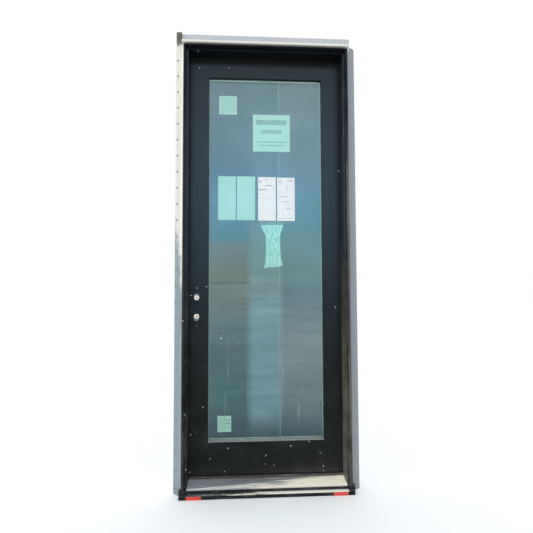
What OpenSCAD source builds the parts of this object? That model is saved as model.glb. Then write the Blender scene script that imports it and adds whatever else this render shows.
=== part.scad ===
// Glass patio door: one inward-opening panel hung in its own frame, before its handle is fitted.
// X runs across the doorway, Y from outdoors (-) to indoors (+), Z up.
// The origin is the middle of the sill's underside.

/* [Frame] */
// Width across the outsides of the side jambs
frame_w = 921; // [760:1:1220]
// Height from the sill's underside to the top of the head jamb
frame_h = 2426; // [1980:1:2920]
// Depth from the outdoor face to the indoor edge
frame_d = 146; // [120:1:200]
// Jamb thickness beside the panel
jamb_t = 24; // [20:0.5:32]
// Wall of the aluminium frame cladding
frame_clad_t = 2; // [1.4:0.1:3]

/* [Frame cladding face] */
// Step in from the jamb's outside to the cladding's outer edge
face_inset = 10.5; // [8:0.5:16]
// Width of the foremost edge
edge_w = 12; // [8:0.5:18]
// How far the second lip stands back from the foremost edge
lip_setback = 18; // [8:0.5:24]
// Width of the second lip
lip_w = 13; // [8:0.5:18]
// How far the reveal narrows between the lip and the panel
reveal_taper = 3; // [0:0.5:6]
// Width of each fine groove along the reveal
reveal_groove_w = 2.5; // [1.5:0.5:4]

/* [Nailing fins] */
// Distance of the fins behind the outdoor face
fin_setback = 30; // [26:0.5:40]
// How far the side fins reach past the jambs
fin_reach = 33; // [22:0.5:45]
// Height of the head fin above the frame
head_fin_h = 56; // [44:1:70]
// Fin thickness
fin_t = 1.6; // [1:0.1:2.4]
// Diameter of the nail holes
nail_hole_d = 5; // [4:0.5:7]
// Spacing of the nail holes
nail_pitch = 88; // [60:1:120]
// Distance of the nail holes from a side fin's outer edge
nail_edge = 10; // [7:0.5:14]
// Height of the drip cap's nose
nose_h = 12; // [8:0.5:18]

/* [Sill] */
// Height of the sill base under the jambs
sill_base_h = 45; // [36:1:60]
// How far the sill's fascia stands ahead of the frame
fascia_proj = 12; // [6:0.5:20]
// Height of the fascia
fascia_h = 18; // [12:0.5:24]
// Setback of the dark recess under the threshold lip
recess_setback = 4; // [2:0.5:10]
// Rise of the threshold plate from front to back
threshold_rise = 11; // [6:0.5:16]
// Thickness of the threshold plate
threshold_t = 2.2; // [1.6:0.1:3.5]
// Height of the dam behind the threshold plate
dam_h = 12; // [8:0.5:16]
// Height of the indoor threshold above the sill base
indoor_threshold_h = 17; // [12:0.5:22]

/* [Panel] */
// Panel thickness
panel_t = 44.5; // [38:0.5:58]
// Gap between the panel and the jambs
panel_gap = 3; // [2.5:0.1:4]
// Gap between the panel and the indoor threshold
sweep_gap = 4; // [3:0.5:8]
// Face width of the stiles
stile_w = 112.5; // [95:0.5:140]
// Face height of the top rail
top_rail_h = 118; // [95:1:150]
// Face height of the bottom rail
bottom_rail_h = 181; // [130:1:300]
// Wall of the panel's aluminium cladding
panel_clad_t = 1.6; // [1:0.1:2.4]
// How far the cladding wraps round the panel's edges
clad_wrap = 12; // [6:0.5:16]
// Slope of the cladding beside the glass, at the sides and top
side_bevel = 3; // [1:0.5:6]
// Slope of the cladding below the glass
foot_bevel = 10; // [4:0.5:14]

/* [Glass] */
// Depth of the glazing lip behind the panel's outdoor face
lip_depth = 13; // [10:0.5:16]
// Thickness of each pane
pane_t = 3; // [3:0.5:6]
// Thickness of the glazing spacer
spacer_t = 13; // [6:0.5:14]
// How much of the glass the lip covers
glass_cover = 12; // [9:0.5:16]

/* [Hinges] */
// Height of each hinge
hinge_h = 100; // [80:1:130]
// Radius of the hinge knuckles
knuckle_r = 6; // [5:0.25:8]
// Radius of the hinge pins
hinge_pin_r = 3.2; // [2.5:0.1:4]
// Thickness of the hinge leaves
leaf_t = 2.5; // [2:0.1:3.5]
// Height of the lowest hinge's middle above the panel's foot
low_hinge_z = 230; // [180:1:300]
// Distance of the highest hinge's middle below the panel's top
high_hinge_z = 180; // [150:1:260]

/* [Lock] */
// Height of the lock's middle above the sill's underside
lock_z = 982.5; // [850:0.5:1100]
// Spacing of the lever hub and the lock hub
hub_spacing = 103; // [85:1:120]
// Distance of the hubs from the panel's lock edge
backset = 49; // [44:0.5:60]
// Radius of the hub prepared openings
prep_r = 14.5; // [14:0.25:17]
// How much longer than wide the openings are
prep_stretch = 10; // [0:1:16]
// Spacing of the two handle screw holes
trim_spacing = 211; // [200:1:260]
// Radius of the handle screw holes
trim_hole_r = 3.5; // [2.5:0.25:4.5]
// Distance of each hook from the lock's middle
hook_offset = 700; // [500:10:720]
// Throw of the latch bolt
latch_throw = 12; // [8:0.5:13]
// Throw of the deadbolt
deadbolt_throw = 20; // [12:0.5:21]

/* [Labels and bag] */
// Thickness of the labels
label_t = 0.3; // [0.2:0.1:0.6]
// Thickness of the hardware bag
bag_t = 14; // [8:1:24]

/* [Hidden] */
$fn = 48;

// Clearances
fit_gap = 0.2;          // wood mortises and pockets
soft_gap = 0.3;         // seals against the panel
run_gap = 0.05;         // turning pins and hubs
slide_gap = 0.3;        // bolts and rods in their channels
eps = 0.01;             // overrun of a cut past the face it opens

// Frame levels
half_w = frame_w / 2;
front_y = -frame_d / 2;
back_y = frame_d / 2;
lip_u = face_inset + edge_w + lip_w;
stop_u = lip_u + reveal_taper;
seal_space = 6.5;
stop_v = frame_d - panel_t - seal_space;
head_u = frame_h - face_inset;

// Panel levels
panel_w = frame_w - 2 * (jamb_t + panel_gap);
panel_top = frame_h - jamb_t - panel_gap;
indoor_sill_z = sill_base_h + indoor_threshold_h;
panel_foot = indoor_sill_z + sweep_gap;
panel_y = back_y - panel_t;

// Glazing levels, as depths behind the panel's outdoor face
tape_t = 1.5;
pane_y = lip_depth + tape_t;
unit_t = 2 * pane_t + spacer_t;
stop_y = pane_y + unit_t;
edge_gap = 3;
lip_hold = glass_cover + edge_gap;
glass_half_w = panel_w / 2 - stile_w + glass_cover;
glass_foot = panel_foot + bottom_rail_h - glass_cover;
glass_top = panel_top - top_rail_h + glass_cover;

// Hinge places
pivot_x = panel_w / 2 + panel_gap / 2;
pivot_y = back_y + knuckle_r + 1;
hinge_low = panel_foot + low_hinge_z;
hinge_high = panel_top - high_hinge_z;
hinge_zs = [for (i = [0:3]) hinge_low + (hinge_high - hinge_low) * i / 3];
knuckles = 5;
knuckle_h = hinge_h / knuckles;
knuckle_gap = 0.3;
leaf_back = 32;
leaf_screw_zs = [-0.36, -0.14, 0.14, 0.36];

// Screw sizes
screw_r = 2;
screw_head_r = 3.8;
screw_head_h = 1.9;

// Lock places
lock_y = panel_y + panel_t / 2;
hub_x = -panel_w / 2 + backset;
lever_z = lock_z + hub_spacing / 2;
thumb_z = lock_z - hub_spacing / 2;
faceplate_t = 2.5;
faceplate_w = 16;
faceplate_half_h = hook_offset + 90;
case_w = 16;
case_back = backset + 18.5;
case_half_h = hub_spacing / 2 + 30.5;
hub_r = 12;
hub_flange_r = 13.5;
hub_flange_t = 5;
bolt_w = 12;
bolt_h = 19;
hub_room = hub_flange_r + 0.7;
deadbolt_l = backset - hub_room - 2.8;
latch_tail = 17.5;
rod_t = 3;
rod_w = 8;
rod_s = faceplate_t + 0.5;
rod_travel = 12;
rod_grip = 14;
rod_room = 18;
rod_end = 6;
lock_block_half = 96;
hook_box_w = 12;
hook_box_half_h = 40;
hook_pivot_s = 13.5;
hook_pin_r = 2.5;
hook_t = 5;
hook_hub_r = 7;
hook_arm_w = 10;
hook_arm_l = 30;
hook_barb = 4;
hook_box_back = 32.5;
hook_slot_low = 10.5;
hook_slot_high = 30;
strike_t = 1.5;
strike_w = 24;
strike_half_h = 92;
keeper_half_h = 50;

// Shapes of the frame section: u runs in from the jamb's outside, v back from the outdoor face
skin_gap = 0.03;
frame_face = [
    [face_inset, 0], [face_inset + edge_w, 0], [face_inset + edge_w, lip_setback],
    [lip_u, lip_setback], [stop_u, stop_v]];
frame_back = [
    [face_inset + frame_clad_t, frame_clad_t], [face_inset + edge_w - frame_clad_t, frame_clad_t],
    [face_inset + edge_w - frame_clad_t, lip_setback + frame_clad_t],
    [lip_u - frame_clad_t + reveal_taper * frame_clad_t / (stop_v - lip_setback),
        lip_setback + frame_clad_t],
    [stop_u - frame_clad_t, stop_v]];
frame_clad_shape = concat(
    [[face_inset, fin_setback]], frame_face,
    [for (i = [len(frame_back) - 1:-1:0]) frame_back[i]],
    [[face_inset + frame_clad_t, fin_setback]]);
frame_core_shape = concat(
    [[0, fin_setback], [face_inset + frame_clad_t, fin_setback]], frame_back,
    [[jamb_t, stop_v], [jamb_t, frame_d], [0, frame_d]]);
fin_u = lip_u + reveal_taper * (fin_setback - lip_setback) / (stop_v - lip_setback);
front_shape = [
    [face_inset, 0], [face_inset + edge_w, 0], [face_inset + edge_w, lip_setback],
    [lip_u, lip_setback], [fin_u, fin_setback], [face_inset, fin_setback]];
function back_core(gap) = [
    [0, fin_setback], [fin_u - frame_clad_t - gap, fin_setback],
    [stop_u - frame_clad_t - gap, stop_v], [jamb_t, stop_v], [jamb_t, frame_d], [0, frame_d]];
kerf_u = (jamb_t + stop_u) / 2;
kerf_w = 2.2;
kerf_d = 7;
strip_out = stop_u - 1.5;
strip_in = jamb_t + 1;

// ---- Placing tools ----

// A frame section stood up along a side jamb: side -1 is the lock side, 1 the hinge side
module side_run(points, z0, z1, side)
    translate([0, 0, z0])
        linear_extrude(z1 - z0)
            polygon([for (p = points) [side * (half_w - p[0]), front_y + p[1]]]);

// A frame section laid along the head
module head_run(points, x0, x1)
    translate([x0, 0, 0])
        rotate([90, 0, 90])
            linear_extrude(x1 - x0)
                polygon([for (p = points) [front_y + p[1], frame_h - p[0]]]);

// A section drawn in depth and height, laid across the doorway
module cross_run(points, x0, x1)
    translate([x0, 0, 0])
        rotate([90, 0, 90])
            linear_extrude(x1 - x0)
                polygon([for (p = points) [front_y + p[0], p[1]]]);

// A panel section stood up along a stile: s runs in from the panel's edge, t back from its face
module stile_run(points, side)
    translate([0, 0, panel_foot])
        linear_extrude(panel_top - panel_foot)
            polygon([for (p = points) [side * (panel_w / 2 - p[0]), panel_y + p[1]]]);

// A panel section laid along a rail, between the glazing rabbets of the stiles
module rail_run(points, top)
    translate([-panel_w / 2 + stile_w - lip_hold, 0, 0])
        rotate([90, 0, 90])
            linear_extrude(panel_w - 2 * (stile_w - lip_hold))
                polygon([for (p = points)
                    [panel_y + p[1], top ? panel_top - p[0] : panel_foot + p[0]]]);

// A box in the lock edge: s0 and s1 are depths from the edge, w its width across the panel
module edge_box(s0, s1, w, z0, z1)
    translate([-panel_w / 2 + s0, lock_y - w / 2, z0])
        cube([s1 - s0, w, z1 - z0]);

// A box in the lock jamb: u0 and u1 are distances from the jamb's outside
module jamb_box(u0, u1, w, z0, z1)
    translate([-half_w + u0, lock_y - w / 2, z0])
        cube([u1 - u0, w, z1 - z0]);

// A countersunk screw along +Z with the top of its head at z = 0
module wood_screw(l) {
    translate([0, 0, -l]) cylinder(r = screw_r, h = l - 0.5);
    translate([0, 0, -screw_head_h]) cylinder(r1 = screw_r, r2 = screw_head_r, h = screw_head_h);
}

// The hole that a countersunk screw needs in a plate
module screw_hole(t) {
    translate([0, 0, -t - 1]) cylinder(r = screw_r + fit_gap, h = t + 1.5);
    translate([0, 0, -screw_head_h])
        cylinder(r1 = screw_r + fit_gap, r2 = screw_head_r + fit_gap, h = screw_head_h + eps);
}

// ---- Sill ----

foot_screw_recess = 2;
frame_screw_ys = [front_y + fin_setback + 28, back_y - 24];
threshold_lip = 5;
sill_end = 32;
threshold_front = 2;
threshold_low = sill_base_h + threshold_t;
dam_t = 5;
dam_v = stop_v - dam_t;
nosing_t = 3.5;

module sill_base() color("#1f2022")
    difference() {
        sill_block();
        for (side = [-1, 1], y = frame_screw_ys)
            translate([side * (half_w - jamb_t / 2), y, -1])
                cylinder(r = screw_head_r + 1, h = foot_screw_recess + 1);
    }

// The base profile with the two ends that close the recess
module sill_block() {
    cross_run([
        [-fascia_proj, 0], [frame_d, 0], [frame_d, sill_base_h], [recess_setback, sill_base_h],
        [recess_setback, fascia_h], [-fascia_proj, fascia_h]], -half_w, half_w);
    for (side = [-1, 1])
        translate([side > 0 ? half_w - sill_end : -half_w, front_y - fascia_proj + 4, fascia_h])
            cube([sill_end, fascia_proj - 4 + recess_setback, sill_base_h - fascia_h]);
}

module sill_nosing() color("#b9bdbf")
    cross_run([
        [-fascia_proj - 1, fascia_h], [recess_setback, fascia_h],
        [recess_setback, fascia_h + nosing_t + 3], [recess_setback - 1.5, fascia_h + nosing_t + 3],
        [recess_setback - 1.5, fascia_h + nosing_t], [-fascia_proj + 1, fascia_h + nosing_t - 1],
        [-fascia_proj - 1, fascia_h + nosing_t - 2.5]],
        -half_w + sill_end, half_w - sill_end);

// Height of the sloping threshold plate's top at depth v
function plate_z(v) =
    threshold_low + threshold_rise * (v + threshold_front) / (dam_v + threshold_front);

module sill_threshold() color("#8f9494") {
    run = half_w - stop_u;
    legs = [8, dam_v / 2, dam_v - 8];
    difference() {
        union() {
            cross_run([
                [-threshold_front, threshold_low - threshold_lip],
                [-threshold_front, threshold_low], [dam_v, plate_z(dam_v)],
                [dam_v, plate_z(dam_v) - threshold_t], [0.5, plate_z(0) - threshold_t],
                [0.5, threshold_low - threshold_lip]], -run, run);
            for (v = legs)
                cross_run([
                    [v, sill_base_h], [v + threshold_t, sill_base_h],
                    [v + threshold_t, plate_z(v) - 0.5], [v, plate_z(v) - 0.5]], -run, run);
            cross_run([
                [8, sill_base_h], [dam_v, sill_base_h], [dam_v, sill_base_h + 1.2],
                [8, sill_base_h + 1.2]], -run, run);
        }
        for (v = [16:12:dam_v - 12])
            cross_run([
                [v, plate_z(v) - 0.7], [v + 1.4, plate_z(v) - 0.7], [v + 1.4, plate_z(v) + 2],
                [v, plate_z(v) + 2]], -run - 1, run + 1);
    }
}

module sill_dam() color("#6d5f57") {
    top = threshold_low + threshold_rise + dam_h;
    cross_run([
        [dam_v, sill_base_h], [stop_v, sill_base_h], [stop_v, top], [dam_v + 1.5, top],
        [dam_v, top - 1.5]], -half_w + stop_u, half_w - stop_u);
}

module indoor_threshold() color("#a9743f")
    cross_run([
        [stop_v, sill_base_h], [frame_d, sill_base_h], [frame_d, indoor_sill_z - 3],
        [frame_d - 3, indoor_sill_z], [stop_v, indoor_sill_z]],
        -half_w + jamb_t, half_w - jamb_t);

module sill_clips() color("#d8453a") {
    clip_l = 78;
    clip_h = 16;
    clip_t = 3;
    for (side = [-1, 1])
        translate([side * 384, front_y - fascia_proj, 9])
            difference() {
                rotate([90, 0, 0])
                    linear_extrude(clip_t)
                        union() {
                            square([clip_l - clip_h, clip_h], center = true);
                            for (end = [-1, 1])
                                translate([end * (clip_l - clip_h) / 2, 0])
                                    circle(d = clip_h);
                        }
                translate([side * 16 - 1.5, -clip_t - 1, -clip_h])
                    cube([3, 2.2, 2 * clip_h]);
            }
}

// ---- Frame ----

kerf_shape = [
    [kerf_u - kerf_w / 2, stop_v - kerf_d], [kerf_u + kerf_w / 2, stop_v - kerf_d],
    [kerf_u + kerf_w / 2, stop_v + 1], [kerf_u - kerf_w / 2, stop_v + 1]];

// A fine groove along the reveal
function groove_shape(i) =
    let (v = lip_setback + (stop_v - lip_setback) * i / 4, u = lip_u + reveal_taper * i / 4)
    [[u - 0.8, v], [u + 1, v], [u + 1, v + reveal_groove_w], [u - 0.8, v + reveal_groove_w]];

// Everything ahead of the fins that belongs to the head, over the side jambs too
module head_front()
    head_run(concat([[-1, -1], [face_inset + edge_w, -1]],
        [for (i = [2:4]) front_shape[i]], [[-1, fin_setback]]), -half_w - 1, half_w + 1);

module side_core(side)
    difference() {
        side_run(frame_core_shape, sill_base_h, frame_h, side);
        side_run(kerf_shape, sill_base_h - 1, frame_h + 1, side);
        head_front();
    }

module side_clad(side)
    difference() {
        side_run(frame_clad_shape, sill_base_h, head_u, side);
        for (i = [1:3])
            side_run(groove_shape(i), sill_base_h - 1, frame_h, side);
        head_run(concat([[-1, -1], [face_inset + edge_w, -1]],
            [for (i = [2:4]) frame_face[i]], [[-1, stop_v + 1]]), -half_w - 1, half_w + 1);
    }

module lock_jamb() color("#d9b98a")
    difference() {
        side_core(-1);
        jamb_box(jamb_t - strike_t, jamb_t + 1, strike_w + 2 * fit_gap,
            lock_z - strike_half_h - fit_gap, lock_z + strike_half_h + fit_gap);
        translate([-half_w + jamb_t - strike_t, lock_y, lever_z - strike_lip_h / 2 - fit_gap])
            cube([strike_t + 1, frame_d, strike_lip_h + 2 * fit_gap]);
        jamb_box(jamb_t + panel_gap - latch_throw - 1.5, jamb_t + 1, bolt_w + 4,
            lever_z - bolt_h / 2 - 2, lever_z + bolt_h / 2 + 2);
        jamb_box(jamb_t + panel_gap - deadbolt_throw - 1.5, jamb_t + 1, bolt_w + 4,
            thumb_z - bolt_h / 2 - 2, thumb_z + bolt_h / 2 + 2);
        for (up = [-1, 1]) {
            jamb_box(jamb_t - strike_t, jamb_t + 1, strike_w + 2 * fit_gap,
                lock_z + up * hook_offset - keeper_half_h - fit_gap,
                lock_z + up * hook_offset + keeper_half_h + fit_gap);
            hook_slot_box(up, hook_reach_u - 1.5, hook_t + 4, 1.5);
        }
    }

// The slot that a hook swings through in the lock jamb, from u0 to the rabbet
module hook_slot_box(up, u0, w, room)
    jamb_box(u0, jamb_t + 1, w,
        lock_z + up * hook_offset - (up > 0 ? hook_slot_low : hook_slot_high) - room,
        lock_z + up * hook_offset + (up > 0 ? hook_slot_high : hook_slot_low) + room);

module hinge_jamb() color("#d9b98a")
    difference() {
        side_core(1);
        for (z = hinge_zs)
            translate([panel_w / 2 + panel_gap - 1, back_y - leaf_back - fit_gap,
                    z - hinge_h / 2 - fit_gap])
                cube([leaf_t + 1, leaf_back + 1, hinge_h + 2 * fit_gap]);
    }

module head_jamb() color("#d9b98a")
    difference() {
        union() {
            head_run(back_core(skin_gap), -half_w + jamb_t / 2, half_w - jamb_t / 2);
            intersection() {
                head_run(frame_core_shape, -half_w + face_inset + frame_clad_t,
                    half_w - face_inset - frame_clad_t);
                head_front();
            }
        }
        head_run(kerf_shape, -half_w - 1, half_w + 1);
        for (side = [-1, 1])
            side_run(back_core(0), frame_h / 2, frame_h + 1, side);
    }

module head_cladding() color("#202226")
    difference() {
        union() {
            head_run(frame_clad_shape, -half_w + face_inset, half_w - face_inset);
            for (x = [-half_w + face_inset, half_w - face_inset - frame_clad_t])
                head_run(front_shape, x, x + frame_clad_t);
        }
        for (i = [1:3])
            head_run(groove_shape(i), -half_w, half_w);
        for (side = [-1, 1])
            side_run(back_core(0), frame_h / 2, frame_h + 1, side);
    }

module lock_jamb_cladding() color("#202226") side_clad(-1);
module hinge_jamb_cladding() color("#202226") side_clad(1);

// ---- Nailing fins ----

root_v = 20;
side_fin_low = 5;
side_fin_top = frame_h + 9;
fin_chamfer = 12;
fin_front = fin_setback - fin_t;

module side_fin(side) {
    hole_x = side * (half_w + fin_reach - nail_edge);
    count = floor((side_fin_top - side_fin_low - 60) / nail_pitch);
    difference() {
        union() {
            translate([0, front_y + fin_setback, 0])
                rotate([90, 0, 0])
                    linear_extrude(fin_t)
                        polygon([for (p = [
                            [0, side_fin_low + fin_chamfer], [fin_reach - 2 * fin_chamfer, side_fin_low],
                            [fin_reach, side_fin_low + fin_chamfer],
                            [fin_reach, side_fin_top - fin_chamfer],
                            [fin_chamfer, side_fin_top], [0, side_fin_top]])
                            [side * (half_w + p[0]), p[1]]]);
            side_run([
                [-1, fin_front], [1, fin_front], [1, root_v + 2], [3, root_v],
                [face_inset - 2, root_v], [face_inset, root_v + 2], [face_inset, fin_setback],
                [-1, fin_setback]], sill_base_h, head_u, side);
        }
        for (i = [0:count])
            translate([hole_x, front_y + fin_setback + 1, side_fin_low + 40 + i * nail_pitch])
                rotate([90, 0, 0])
                    cylinder(d = nail_hole_d, h = fin_t + 2);
    }
}

module lock_side_fin() color("#d8d9d2") side_fin(-1);
module hinge_side_fin() color("#a9adab") side_fin(1);

module head_fin() color("#d8d8d0") {
    lap = fin_front - fin_t;
    fin_half = half_w + 6.5;
    count = floor((2 * fin_half - 80) / nail_pitch);
    top = frame_h + head_fin_h;
    difference() {
        union() {
            cross_run([[lap, head_u + 1], [fin_front, head_u + 1], [fin_front, top], [lap, top]],
                -fin_half, fin_half);
            cross_run([
                [root_v, head_u + 1.5], [root_v + 1.5, head_u], [fin_setback, head_u],
                [fin_setback, frame_h], [root_v, frame_h]], -half_w, half_w);
            cross_run([
                [-2, frame_h], [fin_front, frame_h], [fin_front, frame_h + fin_t], [-0.4, frame_h + fin_t],
                [-0.4, frame_h + nose_h - fin_t], [lap, frame_h + nose_h + 7 - fin_t],
                [lap + 1, frame_h + nose_h + 7], [-0.8, frame_h + nose_h], [-2, frame_h + nose_h - 1.5]],
                -half_w - 0.5, half_w + 0.5);
        }
        for (i = [0:count])
            translate([(i - count / 2) * nail_pitch, front_y + fin_setback + 1, top - nail_edge - 3])
                rotate([90, 0, 0])
                    cylinder(d = nail_hole_d, h = 2 * fin_t + 3);
    }
}

// Foam pad that closes the corner between the side fin and the head fin, on the lock side
module corner_gasket() color("#6f6c68") {
    lap = fin_front - fin_t;
    step = half_w + 6.5 + 0.2;
    translate([0, 0, frame_h + 2])
        linear_extrude(head_fin_h + 7)
            polygon([for (p = [
                [half_w + 1, lap - 4], [half_w + fin_reach - 2, lap - 4],
                [half_w + fin_reach - 2, fin_front], [step, fin_front], [step, lap], [half_w + 1, lap]])
                [-p[0], front_y + p[1]]]);
}

// ---- Seals ----

seal_front = stop_v + seal_space - soft_gap;

// A bulb seal and the barb that holds it in the kerf
bulb_shape = [
    [strip_in, stop_v], [strip_out, stop_v], [strip_out, seal_front - 2],
    [strip_out - 1.5, seal_front - 0.5], [strip_out - 3, seal_front], [strip_in + 3, seal_front],
    [strip_in + 1.5, seal_front - 0.5], [strip_in, seal_front - 2]];
barb_shape = [
    [kerf_u - kerf_w / 2 + 0.1, stop_v + 1], [kerf_u - kerf_w / 2 + 0.1, stop_v - kerf_d + 1],
    [kerf_u + kerf_w / 2 - 0.1, stop_v - kerf_d + 1], [kerf_u + kerf_w / 2 - 0.1, stop_v + 1]];

module side_strip(side)
    for (shape = [bulb_shape, barb_shape])
        side_run(shape, indoor_sill_z + 0.2, frame_h - strip_out - 0.2, side);

module lock_weatherstrip() color("#8e9190") side_strip(-1);
module hinge_weatherstrip() color("#8e9190") side_strip(1);
module head_weatherstrip() color("#8e9190") {
    head_run(bulb_shape, -half_w + jamb_t + 0.5, half_w - jamb_t - 0.5);
    head_run(barb_shape, -half_w + stop_u, half_w - stop_u);
}

module sill_seal() color("#57504b")
    cross_run([
        [stop_v, indoor_sill_z + 0.2], [seal_front - 2, indoor_sill_z + 0.2],
        [seal_front, indoor_sill_z + 2.2], [seal_front, threshold_low + threshold_rise + dam_h - 2.5],
        [seal_front - 2, threshold_low + threshold_rise + dam_h - 0.5],
        [stop_v, threshold_low + threshold_rise + dam_h - 0.5]],
        -half_w + stop_u, half_w - stop_u);

// ---- Frame fasteners and lock parts ----

strike_lip_h = 28;
hook_reach = sqrt(pow(hook_arm_l, 2) + pow(hook_arm_w / 2 + hook_barb, 2));
hook_reach_u = jamb_t + panel_gap + hook_pivot_s - hook_reach;

// Screws that hold the frame together: through the jambs into the head, up through the sill
module frame_screws() color("#9a9c9e")
    for (side = [-1, 1], v = frame_screw_ys) {
        translate([side * (half_w + 0.4), v, frame_h - jamb_t / 2])
            rotate([0, side * 90, 0]) wood_screw(70);
        translate([side * (half_w - jamb_t / 2), v, foot_screw_recess])
            rotate([180, 0, 0]) wood_screw(sill_base_h + 40);
    }

module strike_plate() color("#a7aaab")
    difference() {
        union() {
            jamb_box(jamb_t - strike_t, jamb_t, strike_w, lock_z - strike_half_h, lock_z + strike_half_h);
            translate([-half_w + jamb_t - strike_t, lock_y, lever_z - strike_lip_h / 2])
                cube([strike_t, back_y - lock_y, strike_lip_h]);
        }
        for (z = [lever_z, thumb_z])
            jamb_box(jamb_t - strike_t - 1, jamb_t + 1, bolt_w + 2,
                z - bolt_h / 2 - 1.5, z + bolt_h / 2 + 1.5);
        jamb_screw_places() screw_hole(strike_t);
    }

module hook_keepers() color("#a7aaab")
    for (up = [-1, 1])
        difference() {
            jamb_box(jamb_t - strike_t, jamb_t, strike_w, lock_z + up * hook_offset - keeper_half_h,
                lock_z + up * hook_offset + keeper_half_h);
            hook_slot_box(up, 0, hook_t + 3, 1);
            jamb_screw_places() screw_hole(strike_t);
        }

// Places of the screws in the strike plate and the hook keepers
module jamb_screw_places()
    for (z = [
            lock_z - strike_half_h + 8, lock_z, lock_z + strike_half_h - 8,
            lock_z - hook_offset - keeper_half_h + 7, lock_z - hook_offset + keeper_half_h - 7,
            lock_z + hook_offset - keeper_half_h + 7, lock_z + hook_offset + keeper_half_h - 7])
        translate([-half_w + jamb_t, lock_y, z])
            rotate([0, 90, 0])
                children();

module strike_screws() color("#8f9294") jamb_screw_places() wood_screw(jamb_t - 4);

// ---- Hinges ----

// One leaf with its knuckles: side 1 is let into the jamb, -1 into the panel
module hinge_leaf(side, z)
    translate([pivot_x, pivot_y, z - hinge_h / 2])
        difference() {
            union() {
                translate([side > 0 ? panel_gap / 2 : -panel_gap / 2 - leaf_t,
                        back_y - leaf_back - pivot_y, 0])
                    cube([leaf_t, leaf_back - back_y + pivot_y, hinge_h]);
                for (i = [0:knuckles - 1])
                    if (i % 2 == (side > 0 ? 0 : 1))
                        knuckle(i);
            }
            for (i = [0:knuckles - 1])
                if (i % 2 == (side > 0 ? 1 : 0))
                    translate([0, 0, i * knuckle_h - (i == 0 ? 1 : 0)])
                        cylinder(r = knuckle_r + 0.5, h = knuckle_h + (i == 0 || i == knuckles - 1 ? 1 : 0));
            translate([0, 0, -1])
                cylinder(r = hinge_pin_r + (side > 0 ? 0 : run_gap), h = hinge_h + 2);
            for (dz = leaf_screw_zs)
                leaf_screw_place(side, hinge_h / 2 + dz * hinge_h) screw_hole(leaf_t);
        }

module knuckle(i)
    translate([0, 0, i * knuckle_h + (i > 0 ? knuckle_gap / 2 : 0)])
        cylinder(r = knuckle_r, h = knuckle_h - (i > 0 && i < knuckles - 1 ? knuckle_gap : knuckle_gap / 2));

// The screws' places, taken from the pivot at the leaf's foot
module leaf_screw_place(side, z)
    translate([side * panel_gap / 2, back_y - pivot_y - leaf_back / 2 + (z > hinge_h / 2 ? -4 : 4), z])
        rotate([0, -side * 90, 0])
            children();

module leaf_screws(side, l)
    for (z = hinge_zs, dz = leaf_screw_zs)
        translate([pivot_x, pivot_y, z - hinge_h / 2])
            leaf_screw_place(side, hinge_h / 2 + dz * hinge_h)
                wood_screw(l);

module hinge_jamb_leaves() color("#8d9093") for (z = hinge_zs) hinge_leaf(1, z);
module hinge_panel_leaves() color("#8d9093") for (z = hinge_zs) hinge_leaf(-1, z);
module hinge_jamb_screws() color("#86898c") leaf_screws(1, jamb_t - 3);
module hinge_panel_screws() color("#86898c") leaf_screws(-1, 30);
module hinge_pins() color("#9a9da0")
    for (z = hinge_zs)
        translate([pivot_x, pivot_y, z - hinge_h / 2]) {
            cylinder(r = hinge_pin_r, h = hinge_h);
            for (end = [-2.5, hinge_h])
                translate([0, 0, end])
                    cylinder(r = knuckle_r - 0.5, h = 2.5);
        }

// ---- Panel woodwork and cladding ----

// The cladding of one panel member: w is its face width, bevel its slope beside the glass
function skin_shape(w, bevel) = [
    [0, clad_wrap], [0, 0], [w, 0], [w + bevel, lip_depth], [w + bevel - panel_clad_t, lip_depth],
    [w - panel_clad_t, panel_clad_t], [panel_clad_t, panel_clad_t], [panel_clad_t, clad_wrap]];

// The wood of one panel member
function wood_shape(w, bevel) = [
    [0, clad_wrap], [panel_clad_t, clad_wrap], [panel_clad_t, panel_clad_t],
    [w - panel_clad_t, panel_clad_t], [w + bevel - panel_clad_t, lip_depth], [w - lip_hold, lip_depth],
    [w - lip_hold, panel_t], [0, panel_t]];

// Everything that one stile takes up, for coping the rails to it; over runs past the glazing lip
function stile_room(over) = [
    [-1, -1], [stile_w, -1], [stile_w, 0], [stile_w + side_bevel * (1 + over / lip_depth), lip_depth + over],
    [stile_w - lip_hold, lip_depth + over], [stile_w - lip_hold, panel_t + 1], [-1, panel_t + 1]];

module stile_wood(side) stile_run(wood_shape(stile_w, side_bevel), side);

// The two prepared openings and the two handle screw holes, right through the panel
module handle_holes() {
    for (end = [-1, 1]) {
        z = lock_z + end * hub_spacing / 2;
        for (dz = [0, end * prep_stretch])
            translate([hub_x, back_y + 1, z + dz])
                rotate([90, 0, 0])
                    cylinder(r = prep_r, h = panel_t + 2);
        translate([hub_x - prep_r, panel_y - 1, end > 0 ? z : z - prep_stretch])
            cube([2 * prep_r, panel_t + 2, prep_stretch]);
    }
    for (end = [-1, 1])
        translate([hub_x, back_y + 1, lock_z + end * trim_spacing / 2])
            rotate([90, 0, 0])
                cylinder(r = trim_hole_r, h = panel_t + 2);
}

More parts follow.
